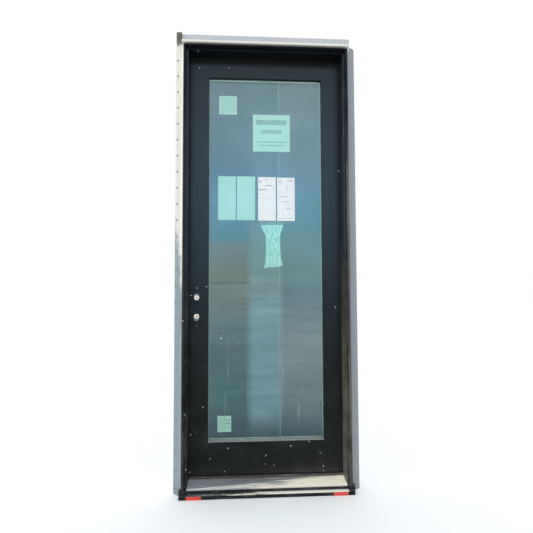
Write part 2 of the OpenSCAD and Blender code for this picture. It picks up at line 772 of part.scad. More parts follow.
// The whole lock stile; its core is jointed above and below the lock
module lock_stile_wood()
    difference() {
        stile_wood(-1);
        handle_holes();
        edge_box(-1, faceplate_t, faceplate_w + 2 * fit_gap, lock_z - faceplate_half_h - fit_gap,
            lock_z + faceplate_half_h + fit_gap);
        edge_box(faceplate_t - 1, rod_s + rod_t + 1.5, rod_w + 2, lock_z - hook_offset, lock_z + hook_offset);
        edge_box(faceplate_t - 1, case_back + fit_gap, case_w + 2 * fit_gap,
            lock_z - case_half_h - fit_gap, lock_z + case_half_h + fit_gap);
        for (up = [-1, 1])
            edge_box(faceplate_t - 1, hook_box_back + fit_gap, hook_box_w + 2 * fit_gap,
                lock_z + up * hook_offset - hook_box_half_h - fit_gap,
                lock_z + up * hook_offset + hook_box_half_h + fit_gap);
    }

// The length of the lock stile around the gear case
module lock_length()
    translate([-panel_w / 2 - 1, panel_y - 1, lock_z - lock_block_half])
        cube([stile_w + 2, frame_d, 2 * lock_block_half]);

module lock_stile() color("#dcbf92")
    difference() {
        lock_stile_wood();
        lock_length();
    }

module lock_block() color("#dcbf92")
    intersection() {
        lock_stile_wood();
        lock_length();
    }

module hinge_stile() color("#dcbf92")
    difference() {
        stile_wood(1);
        for (z = hinge_zs)
            translate([panel_w / 2 - leaf_t, back_y - leaf_back - fit_gap, z - hinge_h / 2 - fit_gap])
                cube([leaf_t + 1, leaf_back + 1, hinge_h + 2 * fit_gap]);
    }

module rail(points, top, over = 0)
    difference() {
        rail_run(points, top);
        for (side = [-1, 1])
            stile_run(stile_room(over), side);
    }

module top_rail() color("#dcbf92") rail(wood_shape(top_rail_h, side_bevel), true);
module bottom_rail() color("#dcbf92") rail(wood_shape(bottom_rail_h, foot_bevel), false);
module top_rail_cladding() color("#1f2124") rail(skin_shape(top_rail_h, side_bevel), true, 0.05);
module bottom_rail_cladding() color("#1f2124") rail(skin_shape(bottom_rail_h, foot_bevel), false, 0.05);
module hinge_stile_cladding() color("#1f2124") stile_run(skin_shape(stile_w, side_bevel), 1);
module lock_stile_cladding() color("#1f2124")
    difference() {
        stile_run(skin_shape(stile_w, side_bevel), -1);
        handle_holes();
    }

// ---- Glass ----

// A sheet or ring on the glazing: t0 and t1 are depths behind the panel's outdoor face
module glazing_sheet(t0, t1, inset)
    translate([-glass_half_w + inset, panel_y + t0, glass_foot + inset])
        cube([2 * (glass_half_w - inset), t1 - t0, glass_top - glass_foot - 2 * inset]);

module glazing_ring(t0, t1, inset, w)
    difference() {
        glazing_sheet(t0, t1, inset);
        glazing_sheet(t0 - 1, t1 + 1, inset + w);
    }

module outer_pane() color("#7fa3ab", 0.5) glazing_sheet(pane_y, pane_y + pane_t, 0);
module inner_pane() color("#7fa3ab", 0.5) glazing_sheet(stop_y - pane_t, stop_y, 0);
module glass_spacer() color("#9ca1a3") glazing_ring(pane_y + pane_t, stop_y - pane_t, 3, 7);
module glazing_tape() color("#2a2b2c") glazing_ring(lip_depth, pane_y, 0.5, glass_cover - 2);

// The indoor stop of one side: w is the member's face width and bevel its slope
function stop_shape(w, bevel) = [
    [w - lip_hold + 0.1, stop_y], [w + bevel, stop_y], [w + bevel, panel_t - 7],
    [w + bevel - 2, panel_t - 5.5], [w + bevel - 4.5, panel_t], [w - lip_hold + 0.1, panel_t]];

module side_glazing_stops() color("#e0c598")
    for (side = [-1, 1])
        intersection() {
            stile_run(stop_shape(stile_w, side_bevel), side);
            translate([-frame_w / 2, -frame_d, panel_foot + bottom_rail_h - lip_hold + 0.1])
                cube([frame_w, 2 * frame_d,
                    panel_top - panel_foot - top_rail_h - bottom_rail_h + 2 * lip_hold - 0.2]);
        }

module end_stop(w, bevel, top)
    difference() {
        rail_run(stop_shape(w, bevel), top);
        for (side = [-1, 1])
            stile_run(concat(stop_shape(stile_w, side_bevel), [[0, panel_t], [0, stop_y]]), side);
    }

module level_glazing_stops() color("#e0c598") {
    end_stop(top_rail_h, side_bevel, true);
    end_stop(bottom_rail_h, foot_bevel, false);
}

module bottom_sweep() color("#2b2a29") {
    back = panel_t - 6;
    low = indoor_sill_z + soft_gap;
    half = panel_w / 2 - 2;
    base_v = frame_d - panel_t;
    cross_run([
        [base_v + 6, panel_foot - 1.5], [base_v + back, panel_foot - 1.5],
        [base_v + back, panel_foot], [base_v + 6, panel_foot]], -half, half);
    for (i = [0:3]) {
        v = base_v + 6 + (back - 7.2) * i / 3;
        cross_run([
            [v, low], [v + 1.2, low], [v + 1.2, panel_foot - 1], [v, panel_foot - 1]], -half, half);
    }
}

// ---- Lock ----

faceplate_screw_zs = [-faceplate_half_h + 12, -hook_offset * 0.55, -14, 14, hook_offset * 0.55,
    faceplate_half_h - 12];

module faceplate_screw_places(zs = faceplate_screw_zs)
    for (dz = zs)
        translate([-panel_w / 2, lock_y, lock_z + dz])
            rotate([0, -90, 0])
                children();

module lock_faceplate() color("#b3b6b8")
    difference() {
        edge_box(0, faceplate_t, faceplate_w, lock_z - faceplate_half_h, lock_z + faceplate_half_h);
        for (z = [lever_z, thumb_z])
            edge_box(-1, faceplate_t + 1, bolt_w + slide_gap, z - bolt_h / 2 - slide_gap / 2,
                z + bolt_h / 2 + slide_gap / 2);
        for (up = [-1, 1])
            edge_box(-1, faceplate_t + 1, hook_t + 2,
                lock_z + up * hook_offset - (up > 0 ? hook_slot_low : hook_slot_high),
                lock_z + up * hook_offset + (up > 0 ? hook_slot_high : hook_slot_low));
        faceplate_screw_places() screw_hole(faceplate_t);
    }

module faceplate_screws() color("#8f9294") {
    faceplate_screw_places([for (i = [0, 1, 4, 5]) faceplate_screw_zs[i]]) wood_screw(24);
    faceplate_screw_places([for (i = [2, 3]) faceplate_screw_zs[i]]) wood_screw(10);
}

module gear_case() color("#c3c6c7")
    difference() {
        edge_box(faceplate_t, case_back, case_w, lock_z - case_half_h, lock_z + case_half_h);
        for (z = [lever_z, thumb_z]) {
            translate([hub_x, lock_y + case_w, z])
                rotate([90, 0, 0])
                    cylinder(r = hub_r + run_gap, h = 2 * case_w);
            translate([hub_x, lock_y + hub_flange_t / 2 + 0.2, z])
                rotate([90, 0, 0])
                    cylinder(r = hub_room, h = hub_flange_t + 0.4);
            edge_box(faceplate_t - 1, backset - hub_r, bolt_w + slide_gap, z - bolt_h / 2 - slide_gap / 2,
                z + bolt_h / 2 + slide_gap / 2);
        }
        for (up = [-1, 1])
            edge_box(rod_s - slide_gap / 2, rod_s + rod_t + slide_gap / 2, rod_w + slide_gap,
                lock_z + up * (case_half_h - rod_room / 2) - rod_room / 2 - 1,
                lock_z + up * (case_half_h - rod_room / 2) + rod_room / 2 + 1);
        faceplate_screw_places([faceplate_screw_zs[2], faceplate_screw_zs[3]])
            translate([0, 0, -11]) cylinder(r = screw_r, h = 12);
    }

// A hub with its square drive hole
module hub(z, square_w)
    translate([hub_x, lock_y, z])
        rotate([90, 0, 0])
            difference() {
                union() {
                    translate([0, 0, -case_w / 2 - 1]) cylinder(r = hub_r, h = case_w + 2);
                    translate([0, 0, -hub_flange_t / 2]) cylinder(r = hub_flange_r, h = hub_flange_t);
                }
                translate([-square_w / 2, -square_w / 2, -case_w])
                    cube([square_w, square_w, 2 * case_w]);
            }

module lever_hub() color("#c9cbcc") hub(lever_z, 8);
module lock_hub() color("#c9cbcc") hub(thumb_z, 7);

module latch_bolt() color("#c0a86a")
    translate([-panel_w / 2, lock_y - bolt_w / 2, lever_z - bolt_h / 2])
        linear_extrude(bolt_h)
            polygon([
                [latch_tail, 0], [0, 0], [-latch_throw + 1, bolt_w - 3], [-latch_throw, bolt_w - 2],
                [-latch_throw, bolt_w], [latch_tail, bolt_w]]);

module deadbolt() color("#c3c6c7")
    edge_box(0, deadbolt_l, bolt_w, thumb_z - bolt_h / 2, thumb_z + bolt_h / 2);

// A flat rod from the gear case to a hook box, slotted round the faceplate screw
module rod(up) {
    near = lock_z + up * (case_half_h - rod_grip);
    far = lock_z + up * (hook_offset - hook_box_half_h + rod_end);
    screw_z = lock_z + up * hook_offset * 0.55;
    difference() {
        edge_box(rod_s, rod_s + rod_t, rod_w, min(near, far), max(near, far));
        edge_box(rod_s - 1, rod_s + rod_t + 1, 2 * screw_r + 1,
            screw_z - screw_r - 1 - (up > 0 ? rod_travel : 0),
            screw_z + screw_r + 1 + (up > 0 ? 0 : rod_travel));
    }
}

module upper_rod() color("#a9acad") rod(1);
module lower_rod() color("#a9acad") rod(-1);

module hook_boxes() color("#b8bbbc")
    for (up = [-1, 1])
        translate([0, 0, lock_z + up * hook_offset])
            mirror([0, 0, up > 0 ? 0 : 1]) {
                difference() {
                    edge_box(faceplate_t, hook_box_back, hook_box_w, -hook_box_half_h, hook_box_half_h);
                    edge_box(faceplate_t - 1, hook_pivot_s + hook_hub_r + 2, hook_t + 1, -12, hook_arm_l + 5);
                    edge_box(rod_s - slide_gap / 2, rod_s + rod_t + slide_gap / 2, rod_w + slide_gap,
                        -hook_box_half_h - 1, -10);
                }
                translate([-panel_w / 2 + hook_pivot_s, lock_y + hook_box_w / 2, 0])
                    rotate([90, 0, 0])
                        cylinder(r = hook_pin_r, h = hook_box_w);
            }

// A hook on its pin, folded up inside its box: the arm points away from the lock's middle
module hook(up)
    translate([-panel_w / 2 + hook_pivot_s, lock_y + hook_t / 2, lock_z + up * hook_offset])
        mirror([0, 0, up > 0 ? 0 : 1])
            rotate([90, 0, 0])
                linear_extrude(hook_t)
                    difference() {
                        union() {
                            circle(r = hook_hub_r);
                            polygon([
                                [-hook_arm_w / 2, 0], [hook_arm_w / 2, 0],
                                [hook_arm_w / 2, hook_arm_l - 3], [hook_arm_w / 2 - 3, hook_arm_l],
                                [-hook_arm_w / 2 - hook_barb, hook_arm_l],
                                [-hook_arm_w / 2 - hook_barb, hook_arm_l - 8],
                                [-hook_arm_w / 2, hook_arm_l - 10]]);
                        }
                        circle(r = hook_pin_r + run_gap);
                    }

module upper_hook() color("#c3c6c7") hook(1);
module lower_hook() color("#c3c6c7") hook(-1);

// ---- Labels and bag ----

// Edges of the glass that shows
view_side = glass_half_w - glass_cover;
view_top = glass_top - glass_cover;
view_foot = glass_foot + glass_cover;

// A label on a pane: y is the face it lies on, its lower left corner at x and z
module label(x, y, z, w, h)
    translate([x, y, z])
        cube([w, label_t, h]);

module outdoor_labels() color("#eef0f3") {
    y = panel_y + pane_y - label_t;
    label(-43, y, view_top - 814, 101, 249);
    label(65, y, view_top - 815, 101, 248);
}

module indoor_labels() color("#b4ded6") {
    y = panel_y + stop_y;
    label(57 - view_side, y, view_top - 199, 101, 108);
    label(-71, y, view_top - 412, 213, 216);
    label(51 - view_side, y, view_top - 809, 101, 251);
    label(158 - view_side, y, view_top - 809, 104, 251);
    label(51 - view_side, y, view_foot + 44, 76, 88);
}

// The packet of handle screws, hung on the indoor pane by its header
module hardware_bag() color("#bfe3da")
    translate([0, panel_y + stop_y + soft_gap + bag_t, view_top - 1085])
        rotate([90, 0, 0])
            linear_extrude(bag_t)
                polygon([
                    [-28, 250], [99, 250], [97, 229], [85, 192], [85, 134], [92, 69], [101, 28],
                    [84, 12], [-6, 8], [-14, 0], [-10, 34], [-4, 114], [-1, 192], [-24, 228]]);

sill_base();
sill_nosing();
sill_threshold();
sill_dam();
indoor_threshold();
sill_clips();
head_jamb();
lock_jamb();
hinge_jamb();
head_cladding();
lock_jamb_cladding();
hinge_jamb_cladding();
head_fin();
lock_side_fin();
hinge_side_fin();
corner_gasket();
head_weatherstrip();
lock_weatherstrip();
hinge_weatherstrip();
sill_seal();
frame_screws();
strike_plate();
hook_keepers();
strike_screws();
hinge_jamb_leaves();
hinge_jamb_screws();
hinge_pins();
lock_stile();
lock_block();
hinge_stile();
top_rail();
bottom_rail();
lock_stile_cladding();
hinge_stile_cladding();
top_rail_cladding();
bottom_rail_cladding();
outer_pane();
inner_pane();
glass_spacer();
glazing_tape();
side_glazing_stops();
level_glazing_stops();
bottom_sweep();
hinge_panel_leaves();
hinge_panel_screws();
lock_faceplate();
faceplate_screws();
gear_case();
hook_boxes();
lever_hub();
lock_hub();
latch_bolt();
deadbolt();
upper_rod();
lower_rod();
upper_hook();
lower_hook();
outdoor_labels();
indoor_labels();
hardware_bag();
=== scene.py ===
# A glass patio door in its frame, before its handle is fitted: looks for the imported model.
# Metres; X across the doorway, Y from outdoors to indoors, Z up, origin under the sill's middle.
from math import cos, pi, radians, sin

import bmesh
import bpy
from mathutils import Matrix, Vector, noise


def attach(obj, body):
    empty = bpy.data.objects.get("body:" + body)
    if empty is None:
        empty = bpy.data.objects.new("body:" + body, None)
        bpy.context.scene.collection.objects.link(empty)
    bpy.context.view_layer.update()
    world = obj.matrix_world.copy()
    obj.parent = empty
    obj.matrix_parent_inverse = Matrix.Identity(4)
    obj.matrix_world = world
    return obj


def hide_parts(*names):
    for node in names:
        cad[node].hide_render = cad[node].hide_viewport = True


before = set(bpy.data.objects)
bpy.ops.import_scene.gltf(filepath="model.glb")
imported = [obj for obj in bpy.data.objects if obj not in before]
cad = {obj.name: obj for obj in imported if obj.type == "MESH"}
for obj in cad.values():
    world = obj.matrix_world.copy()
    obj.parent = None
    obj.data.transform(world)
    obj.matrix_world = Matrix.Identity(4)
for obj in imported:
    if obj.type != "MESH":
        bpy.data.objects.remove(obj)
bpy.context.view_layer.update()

scene = bpy.context.scene

# ---- Camera ----
# A person's camera held 2.3 m before the door, a little under half its height, looking level
# and a touch to the right of the middle, with a short lens.
camera_data = bpy.data.cameras.new("camera")
camera_data.lens = 28.2
camera_data.sensor_width = 36
camera = bpy.data.objects.new("camera", camera_data)
scene.collection.objects.link(camera)
camera.matrix_world = (
    Matrix.Translation((-0.1343, -2.3015, 1.0926))
    @ Matrix.Rotation(-0.0588, 4, "Z")
    @ Matrix.Rotation(0.0487, 4, "X")
    @ Matrix.Rotation(0.0032, 4, "Y")
    @ Matrix.Rotation(pi / 2, 4, "X")
)
scene.camera = camera
scene.view_settings.view_transform = "Standard"


# ---- Studio ----
# A white studio: an even white dome lights the door, a strong lamp shines from high on the left,
# and a dark sheet behind the door, seen through the glass only, glows with painted reflections and shade.
def linear(hexa):
    """An sRGB hex colour as linear light."""
    parts = [int(hexa[i:i + 2], 16) / 255 for i in (0, 2, 4)]
    return [c / 12.92 if c <= 0.04045 else ((c + 0.055) / 1.055) ** 2.4 for c in parts] + [1]


def add_node(tree, kind, settings=None, links=None):
    """Adds a shader node. settings name its properties, its input sockets, or a colour ramp's stops
    as (place, colour) pairs; links name or number its inputs."""
    made = tree.nodes.new("ShaderNode" + kind)
    for name, value in (settings or {}).items():
        if name == "stops":
            stops = made.color_ramp.elements
            stops.remove(stops[1])
            for i, (place, colour) in enumerate(value):
                stop = stops[0] if i == 0 else stops.new(place)
                stop.position = place
                stop.color = colour
        elif isinstance(name, int) or not hasattr(made, name):
            made.inputs[name].default_value = value
        else:
            setattr(made, name, value)
    for name, (source, output) in (links or {}).items():
        tree.links.new(source.outputs[output], made.inputs[name])
    return made


def sun(name, energy, spread, colour, fall, pieces):
    """A sun lamp of a spread in degrees, falling along a direction and on the given pieces only."""
    data = bpy.data.lights.new(name, "SUN")
    data.energy = energy
    data.angle = radians(spread)
    data.color = colour
    lamp = bpy.data.objects.new(name, data)
    scene.collection.objects.link(lamp)
    lamp.rotation_euler = Vector(fall).to_track_quat("-Z", "Y").to_euler()
    lit = bpy.data.collections.new("lit_by_" + name)
    for piece in pieces:
        lit.objects.link(piece)
    lamp.light_linking.receiver_collection = lit


def mesh_piece(name, mesh):
    """Makes a finished bmesh into an object of that name."""
    bpy.ops.object.select_all(action="DESELECT")
    bpy.ops.mesh.primitive_plane_add(size=1, location=(0, 0, 0))
    made = bpy.context.object
    made.name = name
    mesh.to_mesh(made.data)
    mesh.free()
    return made


world = bpy.data.worlds.new("studio_dome")
scene.world = world
world.use_nodes = True
dome = world.node_tree
dome.nodes.clear()
direction = add_node(dome, "TexCoord")
axes = add_node(dome, "SeparateXYZ", {}, {0: (direction, "Generated")})
height = add_node(dome, "MapRange", {"From Min": -1.0, "From Max": 1.0}, {0: (axes, 2)})
# from straight down (0) over the horizon (0.5) to straight up (1): ground, sky, an eave, sky
sky = add_node(dome, "ValToRGB", {"stops": [
    (0.0, (0.10, 0.115, 0.12, 1)), (0.485, (0.12, 0.135, 0.14, 1)), (0.515, (0.48, 0.80, 0.95, 1)),
    (0.54, (0.60, 1.12, 1.50, 1)), (0.60, (0.80, 1.50, 2.40, 1)), (0.70, (1.05, 1.35, 1.75, 1)),
    (0.735, (1.0, 1.2, 1.5, 1)), (0.750, (0.10, 0.13, 0.17, 1)), (0.87, (0.10, 0.13, 0.17, 1)),
    (0.90, (0.9, 1.0, 1.1, 1))]}, {"Fac": (height, 0)})
path = add_node(dome, "LightPath")
# the sky shows in mirrored rays and in what a pane's inner faces mirror back out, not straight
# through the glass
mirrored = add_node(dome, "Math", {"operation": "MULTIPLY"},
                    {0: (path, "Is Glossy Ray"), 1: (path, "Is Reflection Ray")})
echo = add_node(dome, "Math", {"operation": "GREATER_THAN", 1: 0.5}, {0: (path, "Glossy Depth")})
echo = add_node(dome, "Math", {"operation": "MULTIPLY"}, {0: (echo, 0), 1: (path, "Is Transmission Ray")})
bent = add_node(dome, "Math", {"operation": "MAXIMUM"}, {0: (mirrored, 0), 1: (echo, 0)})
puffs = add_node(dome, "TexNoise", {"Scale": 5.0, "Detail": 5.0}, {"Vector": (direction, "Generated")})
cloud = add_node(dome, "MapRange", {"From Min": 0.35, "From Max": 0.65, "To Min": 0.86, "To Max": 1.14},
                 {0: (puffs, "Fac")})
sky = add_node(dome, "VectorMath", {"operation": "SCALE"}, {0: (sky, 0), "Scale": (cloud, 0)})
even = add_node(dome, "Mix", {"data_type": "RGBA", 6: (0.95, 0.97, 1.0, 1)}, {0: (bent, 0), 7: (sky, 0)})
seen = add_node(dome, "Mix", {"data_type": "RGBA", 7: (1, 1, 1, 1)},
                {0: (path, "Is Camera Ray"), 6: (even, 2)})
shine = add_node(dome, "Background", {}, {"Color": (seen, 2)})
add_node(dome, "OutputWorld", {}, {"Surface": (shine, 0)})

bpy.ops.object.select_all(action="DESELECT")
bpy.ops.mesh.primitive_plane_add(size=40, location=(0, 0, -0.0005))
floor = bpy.context.object
floor.name = "studio_floor"
floor_paint = bpy.data.materials.new("studio_floor_paint")
floor_paint.use_nodes = True
for socket, value in (("Base Color", (0.95, 0.95, 0.95, 1)), ("Roughness", 0.9),
                      ("Emission Color", (1, 1, 1, 1)), ("Emission Strength", 0.12)):
    floor_paint.node_tree.nodes["Principled BSDF"].inputs[socket].default_value = value
floor.data.materials.append(floor_paint)
floor.visible_glossy = False
floor.visible_transmission = False

# The dark sheet: upright 0.55 m behind the door, it glows with painted reflections and shade: three soft
# columns that are dark above and paler below, with faint level streaks near the floor
sheet_mesh = bmesh.new()
sheet_mesh.faces.new([sheet_mesh.verts.new(c) for c in
                      ((-4, 0.55, 0.002), (4, 0.55, 0.002), (4, 0.55, 4.0), (-4, 0.55, 4.0))])
sheet = mesh_piece("studio_dark_sheet", sheet_mesh)
dark = bpy.data.materials.new("studio_sheet_painted_reflection")
dark.use_nodes = True
glowing_sheet = dark.node_tree
glowing_sheet.nodes.clear()
place = add_node(glowing_sheet, "TexCoord")
axes = add_node(glowing_sheet, "SeparateXYZ", {}, {0: (place, "Object")})
blur = add_node(glowing_sheet, "TexNoise", {"Scale": 3.0, "Detail": 4.0}, {"Vector": (place, "Object")})
lift = add_node(glowing_sheet, "Math", {"operation": "MULTIPLY_ADD", 1: 0.22}, {0: (blur, "Fac"), 2: (axes, 2)})
height = add_node(glowing_sheet, "MapRange", {"From Min": 0.11, "From Max": 2.11}, {0: (lift, 0)})
plain = add_node(glowing_sheet, "MapRange", {"From Min": 0.0, "From Max": 2.0}, {0: (axes, 2)})
left = add_node(glowing_sheet, "ValToRGB", {"stops": [
    (0.0, (0.05, 0.07, 0.08, 1)), (0.08, (0.065, 0.10, 0.13, 1)), (0.17, (0.09, 0.165, 0.18, 1)),
    (0.33, (0.11, 0.175, 0.21, 1)), (0.42, (0.14, 0.21, 0.24, 1)), (0.50, (0.21, 0.24, 0.24, 1)),
    (0.553, (0.18, 0.20, 0.19, 1)), (0.560, (0.08, 0.10, 0.10, 1)), (0.566, (0.15, 0.14, 0.10, 1)),
    (0.697, (0.11, 0.10, 0.06, 1)), (0.702, (0.04, 0.09, 0.08, 1)), (1.0, (0.03, 0.07, 0.06, 1))]},
                {"Fac": (plain, 0)})
middle = add_node(glowing_sheet, "ValToRGB", {"stops": [
    (0.0, (0.05, 0.07, 0.09, 1)), (0.06, (0.08, 0.13, 0.16, 1)), (0.16, (0.20, 0.30, 0.37, 1)),
    (0.34, (0.21, 0.31, 0.38, 1)), (0.50, (0.26, 0.375, 0.45, 1)), (0.56, (0.20, 0.26, 0.27, 1)),
    (0.72, (0.10, 0.15, 0.12, 1)), (1.0, (0.04, 0.09, 0.08, 1))]}, {"Fac": (height, 0)})
right = add_node(glowing_sheet, "ValToRGB", {"stops": [
    (0.0, (0.05, 0.07, 0.09, 1)), (0.07, (0.07, 0.11, 0.14, 1)), (0.16, (0.17, 0.21, 0.23, 1)),
    (0.34, (0.25, 0.29, 0.32, 1)), (0.50, (0.17, 0.24, 0.30, 1)), (0.62, (0.11, 0.16, 0.15, 1)),
    (0.76, (0.06, 0.11, 0.09, 1)), (1.0, (0.07, 0.11, 0.10, 1))]}, {"Fac": (height, 0)})
west = add_node(glowing_sheet, "MapRange", {"From Min": -0.11, "From Max": -0.06}, {0: (axes, 0)})
east = add_node(glowing_sheet, "MapRange", {"From Min": 0.11, "From Max": 0.16}, {0: (axes, 0)})
first = add_node(glowing_sheet, "Mix", {"data_type": "RGBA"}, {0: (west, 0), 6: (left, 0), 7: (middle, 0)})
painted_columns = add_node(glowing_sheet, "Mix", {"data_type": "RGBA"}, {0: (east, 0), 6: (first, 2), 7: (right, 0)})
long = add_node(glowing_sheet, "Mapping", {"Scale": (2.2, 1.0, 15.0)}, {0: (place, "Object")})
level = add_node(glowing_sheet, "TexNoise", {"Scale": 1.0, "Detail": 5.0, "Roughness": 0.6},
                 {"Vector": (long, 0)})
streaks = add_node(glowing_sheet, "MapRange", {"From Min": 0.32, "From Max": 0.68, "To Min": 0.86, "To Max": 1.14},
                   {0: (level, "Fac")})
# a thin painted light line, 3 mm wide, down the sheet at x 0.122 m
painted_light_line = add_node(glowing_sheet, "Math", {"operation": "COMPARE", 1: 0.122, 2: 0.0015}, {0: (axes, 0)})
with_painted_light_line = add_node(glowing_sheet, "Mix", {"data_type": "RGBA", 7: (0.34, 0.42, 0.40, 1)},
                {0: (painted_light_line, 0), 6: (painted_columns, 2)})
glow = add_node(glowing_sheet, "Emission", {}, {"Color": (with_painted_light_line, 2), "Strength": (streaks, 0)})
add_node(glowing_sheet, "OutputMaterial", {}, {"Surface": (glow, 0)})
sheet.data.materials.append(dark)
sheet.visible_camera = False
sheet.visible_diffuse = False
sheet.visible_glossy = False
sheet.visible_shadow = False

# The strong lamp, and a weaker one before the door for the two cast hubs deep in their holes
sun("key_lamp", 4.0, 1.6, (1.0, 0.965, 0.90), (0.639, 0.071, -0.766), cad.values())
sun("hub_lamp", 2.4, 20, (1.0, 0.96, 0.88), (0.1, 0.98, -0.16), (cad["lever_hub"], cad["lock_hub"]))


# ---- Aluminium cladding of the frame and the panel ----
# Extruded aluminium, powder coated black in a semi-gloss: the film mirrors the surroundings
# softly, and site dust, specks of dried splash and fine scratches lie on it.
def new_finish(name):
    """A material of that name, its node tree and its Principled node."""
    made = bpy.data.materials.new(name)
    made.use_nodes = True
    return made, made.node_tree, made.node_tree.nodes["Principled BSDF"]


def black_cladding(name, black, dust, shelf, worn, gloss):
    """Semi-gloss black coating. dust is the film's share, shelf that of what lies on upward faces,
    worn how far the foremost edge and the lower reveal are scraped, gloss the specular level."""
    made, tree, coat = new_finish(name)
    at = add_node(tree, "TexCoord")
    axes = add_node(tree, "SeparateXYZ", {}, {0: (at, "Object")})
    # dust in patches of about 90 mm, thicker towards the sill
    patches = add_node(tree, "TexNoise", {"Scale": 11.0, "Detail": 6.0, "Roughness": 0.65},
                       {"Vector": (at, "Object")})
    low = add_node(tree, "MapRange", {"From Min": 1.3, "From Max": 0.0, "To Min": 0.2, "To Max": 1.0},
                   {0: (axes, 2)})
    shape = add_node(tree, "MapRange", {"From Min": 0.42, "From Max": 0.78}, {0: (patches, "Fac")})
    settled = add_node(tree, "Math", {"operation": "MULTIPLY"}, {0: (shape, 0), 1: (low, 0)})
    film = add_node(tree, "Math", {"operation": "MULTIPLY", 1: dust}, {0: (settled, 0)})
    # dust that lies on faces turned upwards
    facing = add_node(tree, "NewGeometry")
    turned = add_node(tree, "SeparateXYZ", {}, {0: (facing, "Normal")})
    ledge = add_node(tree, "MapRange", {"From Min": 0.35, "From Max": 0.75, "To Max": shelf},
                     {0: (turned, 2)})
    film = add_node(tree, "Math", {"operation": "MAXIMUM"}, {0: (film, 0), 1: (ledge, 0)})
    # runs of dried dirt drawn down the extrusion, 4 mm wide and 0.4 m long
    drawn = add_node(tree, "Mapping", {"Scale": (230.0, 230.0, 2.4)}, {0: (at, "Object")})
    runs = add_node(tree, "TexNoise", {"Scale": 1.0, "Detail": 6.0, "Roughness": 0.7},
                    {"Vector": (drawn, 0)})
    front = add_node(tree, "MapRange", {"From Min": -0.066, "From Max": -0.071}, {0: (axes, 1)})
    high = add_node(tree, "MapRange", {"From Min": 2.05, "From Max": 1.75}, {0: (axes, 2)})
    half = add_node(tree, "MapRange", {"From Min": 1.35, "From Max": 0.75, "To Max": 0.45},
                    {0: (axes, 2)})
    edge_wear = add_node(tree, "Math", {"operation": "MULTIPLY"}, {0: (front, 0), 1: (high, 0)})
    wear = add_node(tree, "Math", {"operation": "MAXIMUM"}, {0: (edge_wear, 0), 1: (half, 0)})
    wear = add_node(tree, "Math", {"operation": "MULTIPLY", 1: worn}, {0: (wear, 0)})
    torn = add_node(tree, "MapRange", {"From Min": 0.40, "From Max": 0.62}, {0: (runs, "Fac")})
    scraped = add_node(tree, "Math", {"operation": "MULTIPLY"}, {0: (torn, 0), 1: (wear, 0)})
    # splash specks up to 6 mm across, fewer higher up
    cells = add_node(tree, "TexVoronoi", {"Scale": 24.0}, {"Vector": (at, "Object")})
    dots = add_node(tree, "Math", {"operation": "LESS_THAN", 1: 0.075}, {0: (cells, "Distance")})
    drawn_lot = add_node(tree, "SeparateColor", {}, {0: (cells, "Color")})
    share = add_node(tree, "Math", {"operation": "MULTIPLY_ADD", 1: 1.25, 2: -0.12}, {0: (low, 0)})
    chosen = add_node(tree, "Math", {"operation": "LESS_THAN"}, {0: (drawn_lot, 0), 1: (share, 0)})
    specks = add_node(tree, "Math", {"operation": "MULTIPLY"}, {0: (dots, 0), 1: (chosen, 0)})
    # scratches 0.6 mm wide
    long = add_node(tree, "Mapping", {"Scale": (260.0, 260.0, 9.0)}, {0: (at, "Object")})
    scores = add_node(tree, "TexNoise", {"Scale": 1.0, "Detail": 2.0}, {"Vector": (long, 0)})
    lines = add_node(tree, "MapRange", {"From Min": 0.72, "From Max": 0.78, "To Max": 0.12 + 0.5 * dust},
                     {0: (scores, "Fac")})
    paint = add_node(tree, "Mix", {"data_type": "RGBA", 6: linear(black), 7: linear("959a9c")},
                     {0: (film, 0)})
    bare = add_node(tree, "Mix", {"data_type": "RGBA", 7: linear("7d7469")},
                    {0: (scraped, 0), 6: (paint, 2)})
    scored = add_node(tree, "Mix", {"data_type": "RGBA", 7: linear("9c9d9b")},
                      {0: (lines, 0), 6: (bare, 2)})
    spotted = add_node(tree, "Mix", {"data_type": "RGBA", 7: linear("dfe2e0")},
                       {0: (specks, 0), 6: (scored, 2)})
    tree.links.new(spotted.outputs[2], coat.inputs["Base Color"])
    cover = add_node(tree, "Math", {"operation": "MAXIMUM"}, {0: (film, 0), 1: (scraped, 0)})
    dull = add_node(tree, "Math", {"operation": "MULTIPLY_ADD", 1: 0.5, 2: 0.30}, {0: (cover, 0)})
    tree.links.new(dull.outputs[0], coat.inputs["Roughness"])
    # orange peel of the coating, 3 mm waves
    peel = add_node(tree, "TexNoise", {"Scale": 330.0, "Detail": 2.0}, {"Vector": (at, "Object")})
    edge = add_node(tree, "Bevel", {"samples": 4, "Radius": 0.0008})
    relief = add_node(tree, "Bump", {"Strength": 0.12, "Distance": 0.0002},
                      {"Height": (peel, "Fac"), "Normal": (edge, 0)})
    tree.links.new(relief.outputs[0], coat.inputs["Normal"])
    coat.inputs["IOR"].default_value = 1.5
    # the foremost edges have lost their shine
    shine = add_node(tree, "MapRange", {"To Min": gloss, "To Max": 0.25 * gloss}, {0: (front, 0)})
    tree.links.new(shine.outputs[0], coat.inputs["Specular IOR Level"])
    return made


def finish(names, material):
    """Gives CAD nodes their material."""
    for name in names:
        cad[name].data.materials.clear()
        cad[name].data.materials.append(material)


